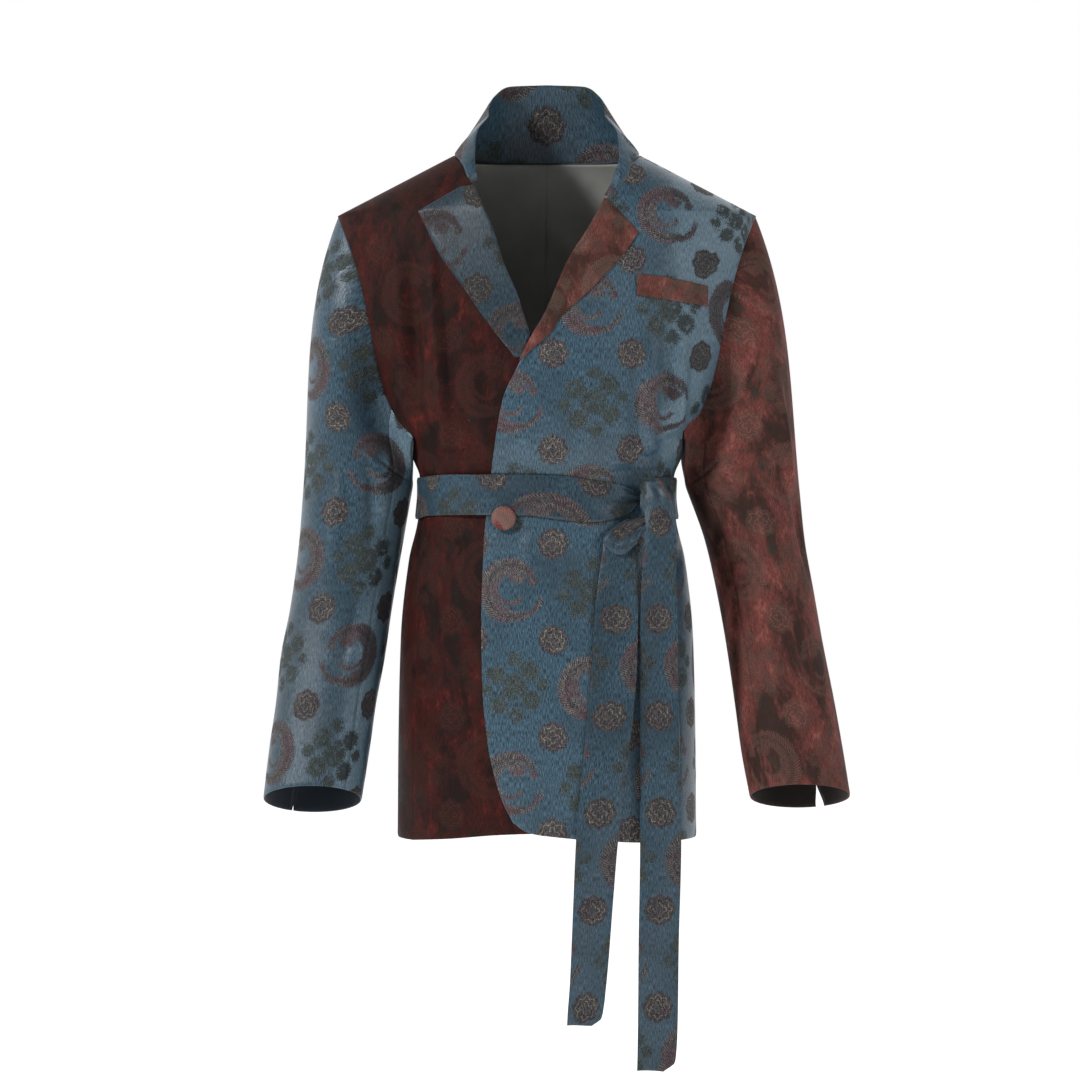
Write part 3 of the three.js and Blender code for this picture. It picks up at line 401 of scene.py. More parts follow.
def sew(name, points, grain, cloth, outward, materials, soft_edge=0.5):
    """Make a closed cloth from a grid of outer points, in its outer and inner material."""
    normals = unit(np.cross(*np.gradient(points, axis=(0, 1)))) * outward
    drop = rim_drop(points, soft_edge)[..., None]
    layers = np.stack([points - normals * drop, points - normals * (cloth - drop)])
    faces, outside = shell_faces(*points.shape[:2], outward)
    slots = np.zeros(len(faces), int)
    slots[outside:2 * outside] = 1
    both = np.tile(grain.reshape(-1, 2), (2, 1))
    built = add_mesh(name, layers.reshape(-1, 3), faces.tolist(), both, materials, slots)
    dress(built, name)


def dress(piece, node):
    """Ride the piece on the garment and hide its plain solid."""
    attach(piece, "root")
    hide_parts(node)


def grain_of(s, t):
    return np.stack([s, t], axis=-1)


def height_along(points):
    """Return each point's height measured along the cloth, equal to z at the armpit."""
    steps = np.linalg.norm(np.diff(points[..., 1:], axis=1), axis=-1)
    length = np.pad(np.cumsum(steps, axis=1), ((0, 0), (1, 0)))
    row = np.argmin(np.abs(points[0, :, 2] - ARMPIT_Z))
    return length - length[:, row:row + 1] + ARMPIT_Z


# Materials

class Wave:
    """A number in a shader tree, so that a pattern reads as plain arithmetic."""

    def __init__(self, tree, socket):
        self.tree = tree
        self.socket = socket

    def op(self, kind, *others):
        node = self.tree.nodes.new("ShaderNodeMath")
        node.operation = kind
        for slot, value in zip(node.inputs, (self,) + others):
            if isinstance(value, Wave):
                self.tree.links.new(value.socket, slot)
            else:
                slot.default_value = value
        return Wave(self.tree, node.outputs[0])

    def __add__(self, other):
        return self.op("ADD", other)

    def __sub__(self, other):
        return self.op("SUBTRACT", other)

    def __mul__(self, other):
        return self.op("MULTIPLY", other)

    def __truediv__(self, other):
        return self.op("DIVIDE", other)

    def wrap(self, period):
        """Return the distance to the nearest multiple of period, with its sign."""
        return ((self / period + 0.5).op("FRACT") - 0.5) * period

    def step(self, low, high):
        """Return 0 below low and 1 above high, softly; low may be the larger."""
        node = self.tree.nodes.new("ShaderNodeMapRange")
        node.interpolation_type = "SMOOTHSTEP"
        self.tree.links.new(self.socket, node.inputs["Value"])
        node.inputs["From Min"].default_value = min(low, high)
        node.inputs["From Max"].default_value = max(low, high)
        node.inputs["To Min"].default_value = 0.0 if low < high else 1.0
        node.inputs["To Max"].default_value = 1.0 if low < high else 0.0
        return Wave(self.tree, node.outputs["Result"])

    def most(self, other):
        return self.op("MAXIMUM", other)

    def line(self, width):
        """Return 1 where this distance is within width of zero."""
        return self.op("ABSOLUTE").step(width, width * 0.45)


def polar(x, y):
    return (x * x + y * y).op("SQRT"), y.op("ARCTAN2", x)


def disc(x, y, centre, radius, fuzz):
    """A round patch with a ragged edge of threads."""
    r, _ = polar(x - centre[0], y - centre[1])
    return (r + fuzz - radius).step(0.9, -0.9)


def noise(tree, vector, scale, detail=2.0, roughness=0.5, warp=0.0):
    node = tree.nodes.new("ShaderNodeTexNoise")
    node.inputs["Scale"].default_value = scale
    node.inputs["Detail"].default_value = detail
    node.inputs["Roughness"].default_value = roughness
    node.inputs["Distortion"].default_value = warp
    tree.links.new(vector, node.inputs["Vector"])
    return Wave(tree, node.outputs["Fac"])


def stretched(tree, vector, x, y, z=1.0):
    node = tree.nodes.new("ShaderNodeMapping")
    node.inputs["Scale"].default_value = (x, y, z)
    tree.links.new(vector, node.inputs["Vector"])
    return node.outputs["Vector"]


def ribs(tree, vector):
    """The fine uneven ribs of the crepe, without the motifs."""
    return noise(tree, stretched(tree, vector, 1.15, 0.17), 1.0, 3.0, 0.7)


# The motifs stand in columns and rows; their sizes are in millimetres
COLUMN = 82
ROW = 100
MEDALLION_RADIUS = 15.6
BIRD_RADIUS = 26.5
BIRD_SWELL = 9.6


def medallion_mask(x, y, fuzz):
    r, a = polar(x, y)
    lobes = (a * 8).op("COSINE")
    mask = (r + fuzz * 0.7 - lobes * 0.9 - MEDALLION_RADIUS).step(0.6, -0.6)
    rings = (r - (lobes * 1.4 + 11)).line(0.6).most((r - ((a * 4).op("COSINE") * 1.6 + 5.4)).line(0.6))
    return mask, rings * (fuzz * 0.5 + 0.4).step(-0.6, 0.6)


def bird_mask(x, y, fuzz):
    """A long-tailed bird curled in a ring: body, two tail plumes, a wing and a head."""
    r, a = polar(x, y)
    t = ((a - 0.55) / TURN).op("FRACT")
    swell = (t / 0.76).op("MINIMUM", 1.0)
    swell = ((swell * HALF).op("SINE") + 0.001).op("POWER", 0.55) * BIRD_SWELL
    on = t.step(0.76, 0.75) * t.step(0, 0.02)
    body = ((r - BIRD_RADIUS).op("ABSOLUTE") + fuzz * 1.3 - swell).step(0.8, -0.8) * on
    plume = ((r - (t * -17 + 24)).op("ABSOLUTE") + fuzz - 2.3).step(0.7, -0.7)
    plume = plume * t.step(0.3, 0.36) * t.step(0.84, 0.78)
    second = ((r - (t * 9 + 22)).op("ABSOLUTE") + fuzz - 2.6).step(0.7, -0.7)
    second = second * t.step(0.66, 0.7) * t.step(0.9, 0.85)
    wing = ((r - 15).op("ABSOLUTE") + fuzz - 5.5).step(0.8, -0.8) * t.step(0.02, 0.05) * t.step(0.25, 0.17)
    head = disc(x, y, (BIRD_RADIUS * 0.8, BIRD_RADIUS * 0.42), 4.6, fuzz)
    mask = body.most(plume).most(second).most(wing).most(head)
    barbs = (a * 38 + r * 0.75).op("SINE").line(0.34) * (r - BIRD_RADIUS).op("ABSOLUTE").step(1.2, 3)
    return mask, barbs


# Each flower of the bouquet: across, up and radius
FLOWERS = [
    (0, 0, 13.5), (-18, 13, 10), (16, 17, 10.5), (-15, -18, 10), (18, -13, 10.5), (1, 29, 7.5), (3, -29, 8),
    (-29, -3, 6.5), (30, 4, 6.5)]


def bouquet_mask(x, y, fuzz):
    mask = None
    for fx, fy, radius in FLOWERS:
        one = disc(x, y, (fx, fy), radius, fuzz * 1.6)
        mask = one if mask is None else mask.most(one)
    return mask


MASKS = ("Medallion", "Bird", "Bouquet", "Lines", "Crepe", "Cloud")


def brocade_group():
    """Build the woven pattern once, shared by every cloth: masks by the cloth's own millimetres."""
    group = bpy.data.node_groups.new("woven_pattern", "ShaderNodeTree")
    group.interface.new_socket("Vector", in_out="INPUT", socket_type="NodeSocketVector")
    for name in MASKS:
        group.interface.new_socket(name, in_out="OUTPUT", socket_type="NodeSocketFloat")
    start = group.nodes.new("NodeGroupInput")
    vector = start.outputs["Vector"]
    parts = group.nodes.new("ShaderNodeSeparateXYZ")
    group.links.new(vector, parts.inputs[0])
    cloud = noise(group, vector, 0.011, 3.0, 0.55)
    x = Wave(group, parts.outputs["X"]) + (cloud - 0.5) * 6
    y = Wave(group, parts.outputs["Y"]) + (cloud - 0.5) * 5
    ragged = noise(group, vector, 0.62, 1.0)
    fuzz = (ragged - 0.5) * 9
    medallion, medallion_lines = medallion_mask(x.wrap(COLUMN), y.wrap(ROW), fuzz)
    shift = (((y / ROW).op("FLOOR") / 2).op("FRACT")) * (2 * COLUMN)
    row_y = (y - ROW / 2).wrap(ROW)
    bird, barbs = bird_mask((x - COLUMN / 2 - shift).wrap(2 * COLUMN), row_y, fuzz)
    patch = noise(group, vector, 0.13, 2.0, 0.6)
    bouquet = bouquet_mask((x - 1.5 * COLUMN - shift).wrap(2 * COLUMN), row_y, fuzz) * patch.step(0.3, 0.46)
    curls = noise(group, vector, 0.34, 0.0, 0.5, 1.4)
    scrolls = ((curls * 8).op("FRACT") - 0.5).line(0.15)
    motif = medallion.most(bird).most(bouquet)
    drawn = (medallion_lines * medallion).most(barbs * bird).most(scrolls * motif)
    crepe = ribs(group, vector)
    end = group.nodes.new("NodeGroupOutput")
    for name, value in zip(MASKS, (medallion, bird, bouquet, drawn, crepe, cloud)):
        group.links.new(value.socket, end.inputs[name])
    return group


woven_pattern = brocade_group()


def pattern(tree, shift, scale=1.0):
    """Lay the shared pattern on a cloth, and return its masks and its own vector in millimetres."""
    grain = tree.nodes.new("ShaderNodeUVMap")
    grain.uv_map = "grain"
    place = tree.nodes.new("ShaderNodeMapping")
    place.inputs["Scale"].default_value = (1000 * scale, 1000 * scale, 1)
    place.inputs["Location"].default_value = (-shift[0] * scale, -shift[1] * scale, 0)
    tree.links.new(grain.outputs["UV"], place.inputs["Vector"])
    node = tree.nodes.new("ShaderNodeGroup")
    node.node_tree = woven_pattern
    tree.links.new(place.outputs["Vector"], node.inputs["Vector"])
    masks = {socket.name: Wave(tree, socket) for socket in node.outputs}
    return masks, place.outputs["Vector"]


def blend(tree, share, low, high):
    """Mix two colours, each a tuple or a socket, by a Wave or a number."""
    node = tree.nodes.new("ShaderNodeMix")
    node.data_type = "RGBA"
    for name, value in (("Factor", share), ("A", low), ("B", high)):
        slot = [s for s in node.inputs if s.name == name and s.enabled][0]
        if isinstance(value, Wave):
            tree.links.new(value.socket, slot)
        elif isinstance(value, tuple):
            slot.default_value = value + (1.0,)
        elif isinstance(value, (float, int)):
            slot.default_value = value
        else:
            tree.links.new(value, slot)
    return [s for s in node.outputs if s.enabled][0]


def bump(tree, height, distance, strength=1.0):
    node = tree.nodes.new("ShaderNodeBump")
    node.inputs["Strength"].default_value = strength
    node.inputs["Distance"].default_value = distance
    tree.links.new(height.socket, node.inputs["Height"])
    return node.outputs["Normal"]


def new_material(name):
    material = bpy.data.materials.new(name)
    material.use_nodes = True
    tree = material.node_tree
    return material, tree, tree.nodes["Principled BSDF"]


def shade(colour, amount):
    return tuple(value * amount for value in colour)


def painted_sheen_band(tree, vector, span):
    """Return a band along the cloth with ragged edges, where a satin sheen is painted."""
    parts = tree.nodes.new("ShaderNodeSeparateXYZ")
    tree.links.new(vector, parts.inputs[0])
    ragged = noise(tree, stretched(tree, vector, 0.05, 0.02), 1.0, 4.0, 0.7) - 0.5
    across = Wave(tree, parts.outputs["X"]) + ragged * 46
    return across.step(span[0], span[1]) * across.step(span[3], span[2])


# Blue cloth, each colour from its darker to its lighter tone
BLUE_GROUND = (0.005, 0.014, 0.024), (0.078, 0.150, 0.208)
BLUE_CLOUD = (0.020, 0.034, 0.044)
BLUE_MEDALLION = (0.004, 0.004, 0.006), (0.026, 0.021, 0.023)
BLUE_BIRD = (0.007, 0.006, 0.011), (0.032, 0.013, 0.018)
BLUE_BOUQUET = (0.004, 0.008, 0.012), (0.008, 0.017, 0.018)
BLUE_SCROLL = (0.360, 0.325, 0.285), (0.255, 0.205, 0.210)
BLUE_LEAF_SCROLL = (0.165, 0.205, 0.125)
# Painted sheen: in a band the ground turns lighter, and painted shade turns the motifs near black
PAINTED_SHEEN_GROUND = (0.045, 0.080, 0.105), (0.15, 0.23, 0.29)
PAINTED_SHADE_MOTIF = (0.004, 0.006, 0.009)
RED_SHADOW = (0.013, 0.015, 0.012)
RED_SHADOW_LEVEL = 0.015


def finish_cloth(tree, shader, vector, colour, rough, specular, relief):
    """Give a brocade its colour and roughness, a plain gloss, and ribs: depth in metres and strength."""
    tree.links.new(colour, shader.inputs["Base Color"])
    tree.links.new(rough.socket, shader.inputs["Roughness"])
    shader.inputs["Specular IOR Level"].default_value = specular
    tree.links.new(bump(tree, ribs(tree, vector), *relief), shader.inputs["Normal"])


def blue_brocade(name, shift=(0, 0), level=1.0, scale=1.0, sheen_span=None):
    """Slate-blue satin crepe; its woven motifs are grey-brown, plum and green with pale scrolls."""
    material, tree, shader = new_material(name)
    masks, vector = pattern(tree, shift, scale)
    crepe, cloud = masks["Crepe"], masks["Cloud"]
    tone = noise(tree, vector, 0.05, 3.0, 0.6)

    def tones(share, pair):
        return blend(tree, share, shade(pair[0], level), shade(pair[1], level))

    ground = tones(crepe.step(0.3, 0.72), BLUE_GROUND)
    ground = blend(tree, cloud.step(0.42, 0.66) * 0.45, ground, shade(BLUE_CLOUD, level))
    thread = tones(crepe.step(0.35, 0.7), BLUE_MEDALLION)
    plum = tones(tone.step(0.4, 0.6), BLUE_BIRD)
    green = tones(tone.step(0.4, 0.6), BLUE_BOUQUET)
    pale = tones(tone.step(0.42, 0.58), BLUE_SCROLL)
    pale = blend(tree, masks["Bouquet"] * 0.75, pale, shade(BLUE_LEAF_SCROLL, level))
    woven = masks["Medallion"].most(masks["Bird"]).most(masks["Bouquet"])
    drawn = masks["Lines"] * (crepe.step(0.34, 0.62) * 0.86 + 0.04)
    if sheen_span:
        # Painted sheen: a band where the ground is lighter and the pale lines are fainter
        turned = painted_sheen_band(tree, vector, sheen_span)
        lighter = blend(tree, crepe.step(0.3, 0.7), *PAINTED_SHEEN_GROUND)
        ground = blend(tree, turned * 0.8, ground, lighter)
        drawn = drawn * (turned * -0.55 + 1)
    colour = blend(tree, masks["Bouquet"] * 0.84, ground, green)
    colour = blend(tree, masks["Bird"] * 0.93, colour, plum)
    colour = blend(tree, masks["Medallion"] * 0.96, colour, thread)
    if sheen_span:
        # Painted shade: inside the painted sheen band the motifs turn near black
        colour = blend(tree, turned * woven * 0.5, colour, PAINTED_SHADE_MOTIF)
    colour = blend(tree, drawn, colour, pale)
    shader.inputs["Sheen Weight"].default_value = 0.05
    shader.inputs["Sheen Roughness"].default_value = 0.35
    shader.inputs["Sheen Tint"].default_value = (0.6, 0.78, 0.95, 1)
    rough = woven * 0.4 + crepe * 0.14 + 0.24
    finish_cloth(tree, shader, vector, colour, rough, 0.36, (0.0006, 0.8))
    return material


def red_brocade(name, shift, deep, mid, bright):
    """Red cloth, woven tone on tone and mottled with black-green and brighter red."""
    material, tree, shader = new_material(name)
    masks, vector = pattern(tree, shift)
    crepe = masks["Crepe"]
    mottle = noise(tree, stretched(tree, vector, 0.024, 0.012), 1.0, 6.0, 0.66, 0.5)
    patch = noise(tree, stretched(tree, vector, 0.062, 0.036), 1.0, 6.0, 0.72)
    swirl = ((mottle * 8).op("FRACT") - 0.5).line(0.09)
    cross = noise(tree, stretched(tree, vector, 0.16, 1.3), 1.0, 2.0, 0.6)
    shadow = shade(RED_SHADOW, deep[0] / RED_SHADOW_LEVEL)
    ground = blend(tree, mottle.step(0.38, 0.58), deep, mid)
    ground = blend(tree, patch.step(0.5, 0.68) * mottle.step(0.4, 0.58) * 0.75, ground, bright)
    ground = blend(tree, patch.step(0.47, 0.36) * 0.75, ground, shadow)
    ground = blend(tree, crepe.step(0.36, 0.66) * 0.62, ground, shade(deep, 0.7))
    ground = blend(tree, cross.step(0.5, 0.75) * 0.35, ground, shade(deep, 0.8))
    woven = masks["Medallion"].most(masks["Bird"]).most(masks["Bouquet"])
    colour = blend(tree, woven * 0.45, ground, shadow)
    colour = blend(tree, swirl * 0.3, colour, shade(deep, 0.8))
    colour = blend(tree, masks["Lines"] * 0.4, colour, bright)
    rough = woven * 0.1 + crepe * 0.16 + 0.5
    finish_cloth(tree, shader, vector, colour, rough, 0.06, (0.0004, 0.7))
    return material


def plain_lining(name, colour):
    """A fine twill."""
    material, tree, shader = new_material(name)
    grain = tree.nodes.new("ShaderNodeUVMap")
    grain.uv_map = "grain"
    parts = tree.nodes.new("ShaderNodeSeparateXYZ")
    tree.links.new(grain.outputs["UV"], parts.inputs[0])
    twill = ((Wave(tree, parts.outputs["X"]) + Wave(tree, parts.outputs["Y"])) * 5200).op("SINE")
    cloud = noise(tree, grain.outputs["UV"], 18.0, 3.0)
    tint = blend(tree, cloud.step(0.3, 0.7), shade(colour, 0.75), colour)
    tint = blend(tree, twill.step(-0.4, 1) * 0.3, tint, shade(colour, 1.5))
    tree.links.new(tint, shader.inputs["Base Color"])
    shader.inputs["Roughness"].default_value = 0.55
    shader.inputs["Sheen Weight"].default_value = 0.1
    tree.links.new(bump(tree, twill, 0.0002, 0.4), shader.inputs["Normal"])
    return material


blue_inside = plain_lining("blue_inside", (0.010, 0.018, 0.028))
red_inside = plain_lining("red_inside", (0.020, 0.012, 0.012))
lining_cloth = plain_lining("lining_cloth", (0.300, 0.297, 0.280))
# On the front and the sleeve, the last argument places a band of painted sheen
blue_front = blue_brocade("blue_front", (6, -406), 1.08, sheen_span=(112, 136, 215, 240))
blue_back = blue_brocade("blue_back", (18, -380))
blue_sleeve = blue_brocade("blue_sleeve", (12, 30), 0.84, sheen_span=(-118, -140, -158, -178))
# The lapel's low level is painted shade, and stands for its denser dark motifs too
blue_lapel = blue_brocade("blue_lapel", (10, 60), 0.46)
blue_collar = blue_brocade("blue_collar", (0, 41), 1.0, 0.77)
blue_belt = blue_brocade("blue_belt", (0, 20), 0.78)
# Each red cloth: where its weave starts, and its deep, middle and bright tone
red_front = red_brocade(
    "red_front", (-20, -390), (0.016, 0.009, 0.008), (0.050, 0.012, 0.010), (0.150, 0.022, 0.018))
red_sleeve = red_brocade(
    "red_sleeve", (0, 20), (0.042, 0.023, 0.019), (0.195, 0.058, 0.050), (0.400, 0.130, 0.110))
red_trim = red_brocade(
    "red_trim", (30, 10), (0.055, 0.026, 0.021), (0.185, 0.062, 0.052), (0.370, 0.145, 0.118))
red_button = red_brocade(
    "red_button", (55, 30), (0.130, 0.034, 0.034), (0.290, 0.066, 0.062), (0.500, 0.190, 0.170))


# The body

def front_inner_angle(z, side, edge_rows, neck_end):
    neck_z = read(NECKLINE, "z", neck_end)
    low = angle_of(read(edge_rows, "x", z), z)
    return np.where(z > neck_z, side * neck_angle(z), low)


def front_lift(side, angle, z):
    if side < 0:
        return 0 * angle
    return OVERLAP_LIFT * overlap_share(ring_point(angle, z)[..., 0])


def build_front(name, side, edge_rows, hem_rows, neck_end, materials):
    u, level = grid(eased(56), PANEL_LEVELS)
    fade = np.clip(1 - (level - HEM_Z) / HEM_FADE, 0, 1)
    z = level + (read(hem_rows, "z", u) - HEM_Z) * fade
    angle = mix(front_inner_angle(z, side, edge_rows, neck_end), outer_angle(z, side, False), u)
    points = torso(angle, z, front_lift(side, angle, z))
    grain = grain_of(width_along(angle, z), height_along(points))
    sew(name, points, grain, CLOTH, side, materials)


def armpit_depth(back=False):
    """Return how far the armpit's corner lies in front of the middle, or behind it."""
    corner = ring_point(angle_of(ARMHOLE["front"][0], ARMPIT_Z, back), np.array(float(ARMPIT_Z)))
    return abs(corner[1])


def underarm_level(angle):
    y = ring_point(angle, 0 * angle + ARMPIT_Z)[..., 1]
    return mix(UNDERARM_Z, ARMPIT_Z, np.clip((y / armpit_depth()) ** 2, 0, 1))


def build_side(name, side, materials):
    levels = PANEL_LEVELS[PANEL_LEVELS <= ARMPIT_Z]
    u, level = grid(eased(24), levels)
    low = np.minimum(level, ARMPIT_Z - 0.5)
    lap = side * SIDE_LAP
    angle = mix(outer_angle(low, side, False) - lap, outer_angle(low, side, True) + lap, u)
    z = np.where(level == levels[-1], underarm_level(angle) - 0.3, level)
    points = torso(angle, z)
    grain = grain_of(arc_length(angle, z), z)
    sew(name, points, grain, CLOTH, side, materials)


def build_back(name, side, materials):
    u, level = grid(eased(44), PANEL_LEVELS)
    angle = mix(side * (HALF + SEAM_LAP), outer_angle(level, side, True), u)
    z = np.where(level == PANEL_LEVELS[-1], read(NECKLINE, "z", np.abs(angle)) + NECK_LAP, level)
    points = torso(angle, z)
    grain = grain_of(side * (BACK_GRAIN_START - np.abs(width_along(angle, z))), height_along(points))
    sew(name, points, grain, CLOTH, -side, materials)


# The lining ends under the belt, short of the side seam, and sways in folds: x, width and rise
LINING_END_Z = -362
LINING_FOLDS = [(18, 26, 2.24), (52, 10, -1.82), (64, 12, 1.96), (88, 15, -1.54), (30, 8, -1.26)]
LINING_SLACK = 1.82


def build_lining(name, side):
    u, z = grid(eased(36), PANEL_LEVELS[PANEL_LEVELS > LINING_END_Z])
    short = np.where(z > SHOULDER_Z, 0.06, 0.03)
    angle = mix(side * (HALF + SEAM_LAP), outer_angle(z, side, True) + side * short, u)
    points = torso(angle, z, -CLOTH - LINING_GAP, 0.4)
    x = points[..., 0]
    sway = sum(rise * np.exp(-((np.abs(x) - at) / width) ** 2) for at, width, rise in LINING_FOLDS)
    points[..., 1] -= (sway + LINING_SLACK) * smooth(-z, -5, 60) * smooth(np.abs(x), 6, 16)
    materials = (lining_cloth, lining_cloth)
    sew(name, points, grain_of(x, z), LINING_CLOTH, -side, materials, 0.1)


def lapel_edge(rows, z):
    """Read a lapel's outer edge, which turns a sharp corner at its tip."""
    tip = int(np.argmax(np.abs(rows["x"])))
    below = {name: column[:tip + 1] for name, column in rows.items()}
    top = np.interp(z, rows["z"][tip:], rows["x"][tip:])
    return np.where(z > rows["z"][tip], top, read(below, "x", z))


def build_lapel(name, side, levels, edge_rows, materials):
    u, z = grid(eased(26), finer(levels, 4))
    left_edge = read(LEFT_EDGE, "x", z)
    roll = left_edge if side > 0 else np.minimum(read(RIGHT_EDGE, "x", z), left_edge - LAPEL_CLEARANCE)
    angle = mix(angle_of(roll, z), angle_of(lapel_edge(edge_rows, z), z), u)
    lift = front_lift(side, angle, z) + LAY_GAP + CLOTH + LAPEL_ROLL_RISE * (1 - u) ** 2
    points = torso(angle, z, lift, 0.5)
    sew(name, points, grain_of(arc_length(angle, z), z), CLOTH, side, materials, 0.7)


RED_BODY = (red_front, red_inside)
BLUE_BODY = (blue_back, blue_inside)
RIGHT_LAPEL_LEVELS = [-211, -196, -176, -158, -141, -122, -103, -88, -72, -57.5, -49, -40, -31.5]
LEFT_LAPEL_LEVELS = [-215, -202, -185, -170, -148, -130, -111, -95, -79.7, -68, -57, -47]

build_front("right_front", -1, RIGHT_EDGE, RIGHT_HEM, RIGHT_NECK_END, RED_BODY)
build_front("left_front", 1, LEFT_EDGE, LEFT_HEM, LEFT_NECK_END, (blue_front, blue_inside))
build_side("right_side", -1, RED_BODY)
build_side("left_side", 1, BLUE_BODY)
build_back("right_back", -1, RED_BODY)
build_back("left_back", 1, BLUE_BODY)
build_lining("right_back_lining", -1)
build_lining("left_back_lining", 1)
build_lapel("right_lapel", -1, RIGHT_LAPEL_LEVELS, RIGHT_LAPEL, (blue_lapel, blue_inside))
build_lapel("left_lapel", 1, LEFT_LAPEL_LEVELS, LEFT_LAPEL, (red_trim, red_inside))


# The collar

COLLAR_END = 0.02
COLLAR_TAPER = 0.16


def ring_turn(turn):
    """Bring a turn that runs on past the centre back to an angle of the ring."""
    return np.where(turn < -HALF, turn + TURN, turn)


def collar_point(turn, share):
    angle = ring_turn(turn)
    base = torso(angle, read(NECKLINE, "z", np.abs(angle)), 0 * angle, 0.0)
    inward = np.stack([-base[..., 0], -base[..., 1] - 8, 0 * share], axis=-1)
    lean = read(COLLAR, "lean", np.abs(angle)) * share ** 1.25
    end = np.minimum(turn + TURN - LEFT_NECK_END - COLLAR_END, -RIGHT_NECK_END - COLLAR_END - turn)
    taper = 0.2 + 0.8 * smooth(end, 0, COLLAR_TAPER)
    height = COLLAR_SEAT + read(COLLAR, "height", np.abs(angle)) * share * taper
    up = np.stack([0 * share, 0 * share, height], axis=-1)
    return base + unit(inward) * lean[..., None] + up


def build_collar():
    start = -(RIGHT_NECK_END + COLLAR_END)
    u, v = grid(eased(150), eased(22))
    turn = start + (LEFT_NECK_END + COLLAR_END - TURN - start) * u
    middle = collar_point(turn[:, 0], np.full(len(turn), 0.5))
    lengths = np.append(0, np.cumsum(np.linalg.norm(np.diff(middle, axis=0), axis=-1)))
    s = (np.interp(0, -(turn[:, 0] + HALF), lengths) - lengths)[:, None] + 0 * v
    t = read(COLLAR, "height", np.abs(ring_turn(turn))) * v
    materials = (blue_collar, blue_collar)
    sew("collar", collar_point(turn, v), grain_of(s, t), CLOTH, -1, materials, 0.7)


build_collar()


# The sleeves

def sleeve_ring(rows, side, angle, z):
    outer, inner = read(rows, "outer", z), read(rows, "inner", z)
    x = (outer + inner) / 2 + (outer - inner) / 2 * np.cos(angle)
    forward = -read(rows, "depth", z) * np.sin(angle)
    y = read(rows, "middle", z) + forward
    return np.stack([side * x, y, z - forward * read(rows, "slope", z)], axis=-1)


def armhole_point(side, angle):
    """Return points of the armhole: angle 0 at the shoulder, a quarter turn at the front."""
    half = (SHOULDER_Z - UNDERARM_Z) / 2
    z = UNDERARM_Z + half + half * np.cos(angle)
    back = np.sin(angle) < 0
    x = np.where(back, read(ARMHOLE, "back", z), read(ARMHOLE, "front", z)) - ARMHOLE_TUCK
    upper = np.where(back, angle_of(side * x, z, True), angle_of(side * x, z, False))
    corner = np.where(back, armpit_depth(True), armpit_depth())
    y = corner * np.sqrt(np.clip((z - UNDERARM_Z) / (ARMPIT_Z - UNDERARM_Z), 0, 1))
    depth = np.where(back, read(TORSO, "back", z), read(TORSO, "front", z))
    turn = np.arccos(np.clip((y / depth) ** (ROUNDNESS / 2), 0, 1))
    lower = side * np.where(back, HALF - turn, turn)
    high = z >= ARMPIT_Z
    tuck = mix(UNDERARM_CLEARANCE, -ARMHOLE_TUCK, smooth(z, ARMPIT_Z, ARMPIT_Z + ARMHOLE_EASE))
    return torso(np.where(high, upper, lower), z, tuck, 0.0)


def sleeve_cap(rows, side, angle, along):
    top = rows["z"][-1]
    start = armhole_point(side, angle)
    end = sleeve_ring(rows, side, angle, top + 0 * angle)
    reach = np.linalg.norm(end - start, axis=-1, keepdims=True) * 0.36
    c, s = np.cos(angle), np.sin(angle)
    out = side * (0.2 * (1 + c) + 0.45 * s * s)
    leave = unit(np.stack([out, -0.12 * s, 0.35 * s * s - 1], axis=-1))
    arrive = unit(end - sleeve_ring(rows, side, angle, top - 10 + 0 * angle))
    first, second = start + leave * reach, end + arrive * reach
    t = along[..., None]
    return (1 - t) ** 3 * start + 3 * (1 - t) ** 2 * t * first + 3 * (1 - t) * t * t * second + t ** 3 * end


def sleeve_point(rows, side, angle, along):
    top, low = rows["z"][-1], rows["z"][0]
    arm = sleeve_ring(rows, side, angle, mix(top, low, np.clip(along - 1, 0, 1)))
    cap = sleeve_cap(rows, side, angle, np.clip(along, 0, 1))
    return np.where((along >= 1)[..., None], arm, cap)


def sleeve_normal(rows, side, angle, along):
    step = 0.01
    around = sleeve_point(rows, side, angle + step, along) - sleeve_point(rows, side, angle - step, along)
    high, low = np.maximum(along - step, 0), np.minimum(along + step, 2)
    down = sleeve_point(rows, side, angle, low) - sleeve_point(rows, side, angle, high)
    return unit(np.cross(around, down) * side)


def sleeve_rise(side, angle, along):
    total = 0 * angle
    for fold_side, at, start, turn, reach, width, rise in SLEEVE_FOLDS:
        share = np.clip((along - start) / reach, 0, 1)
        offset = (angle - at - turn * share) / width
        if fold_side == side:
            total = total + SLEEVE_FOLD_DEPTH * rise * np.sin(HALF * share) * np.exp(-offset * offset)
    return total


def sleeve_crease(side, angle, along):
    total = 0 * angle
    for crease_side, at, slant, middle, half_span, width, rise in SLEEVE_CREASES:
        if crease_side != side:
            continue
        share = np.clip((angle - middle) / half_span, -1, 1)
        bow = 0.02 * share * share
        offset = (along - at - slant * share - bow) / width
        total = total + rise * np.cos(share * QUARTER) ** 2 * np.exp(-offset * offset)
    return total


def sleeve_surface(rows, side, angle, along):
    points = sleeve_point(rows, side, angle, along)
    rise = sleeve_rise(side, angle, along) + sleeve_crease(side, angle, along) * smooth(along, 0.06, 0.2)
    seams = (FRONT_SLEEVE_SEAM, BACK_SLEEVE_SEAM, BACK_SLEEVE_SEAM + TURN)
    away = np.min([np.abs(angle - seam) for seam in seams], axis=0) * SLEEVE_RADIUS
    rise = rise - SEAM_DIP * np.exp(-(away / SEAM_REACH) ** 2)
    return points + sleeve_normal(rows, side, angle, along) * rise[..., None]


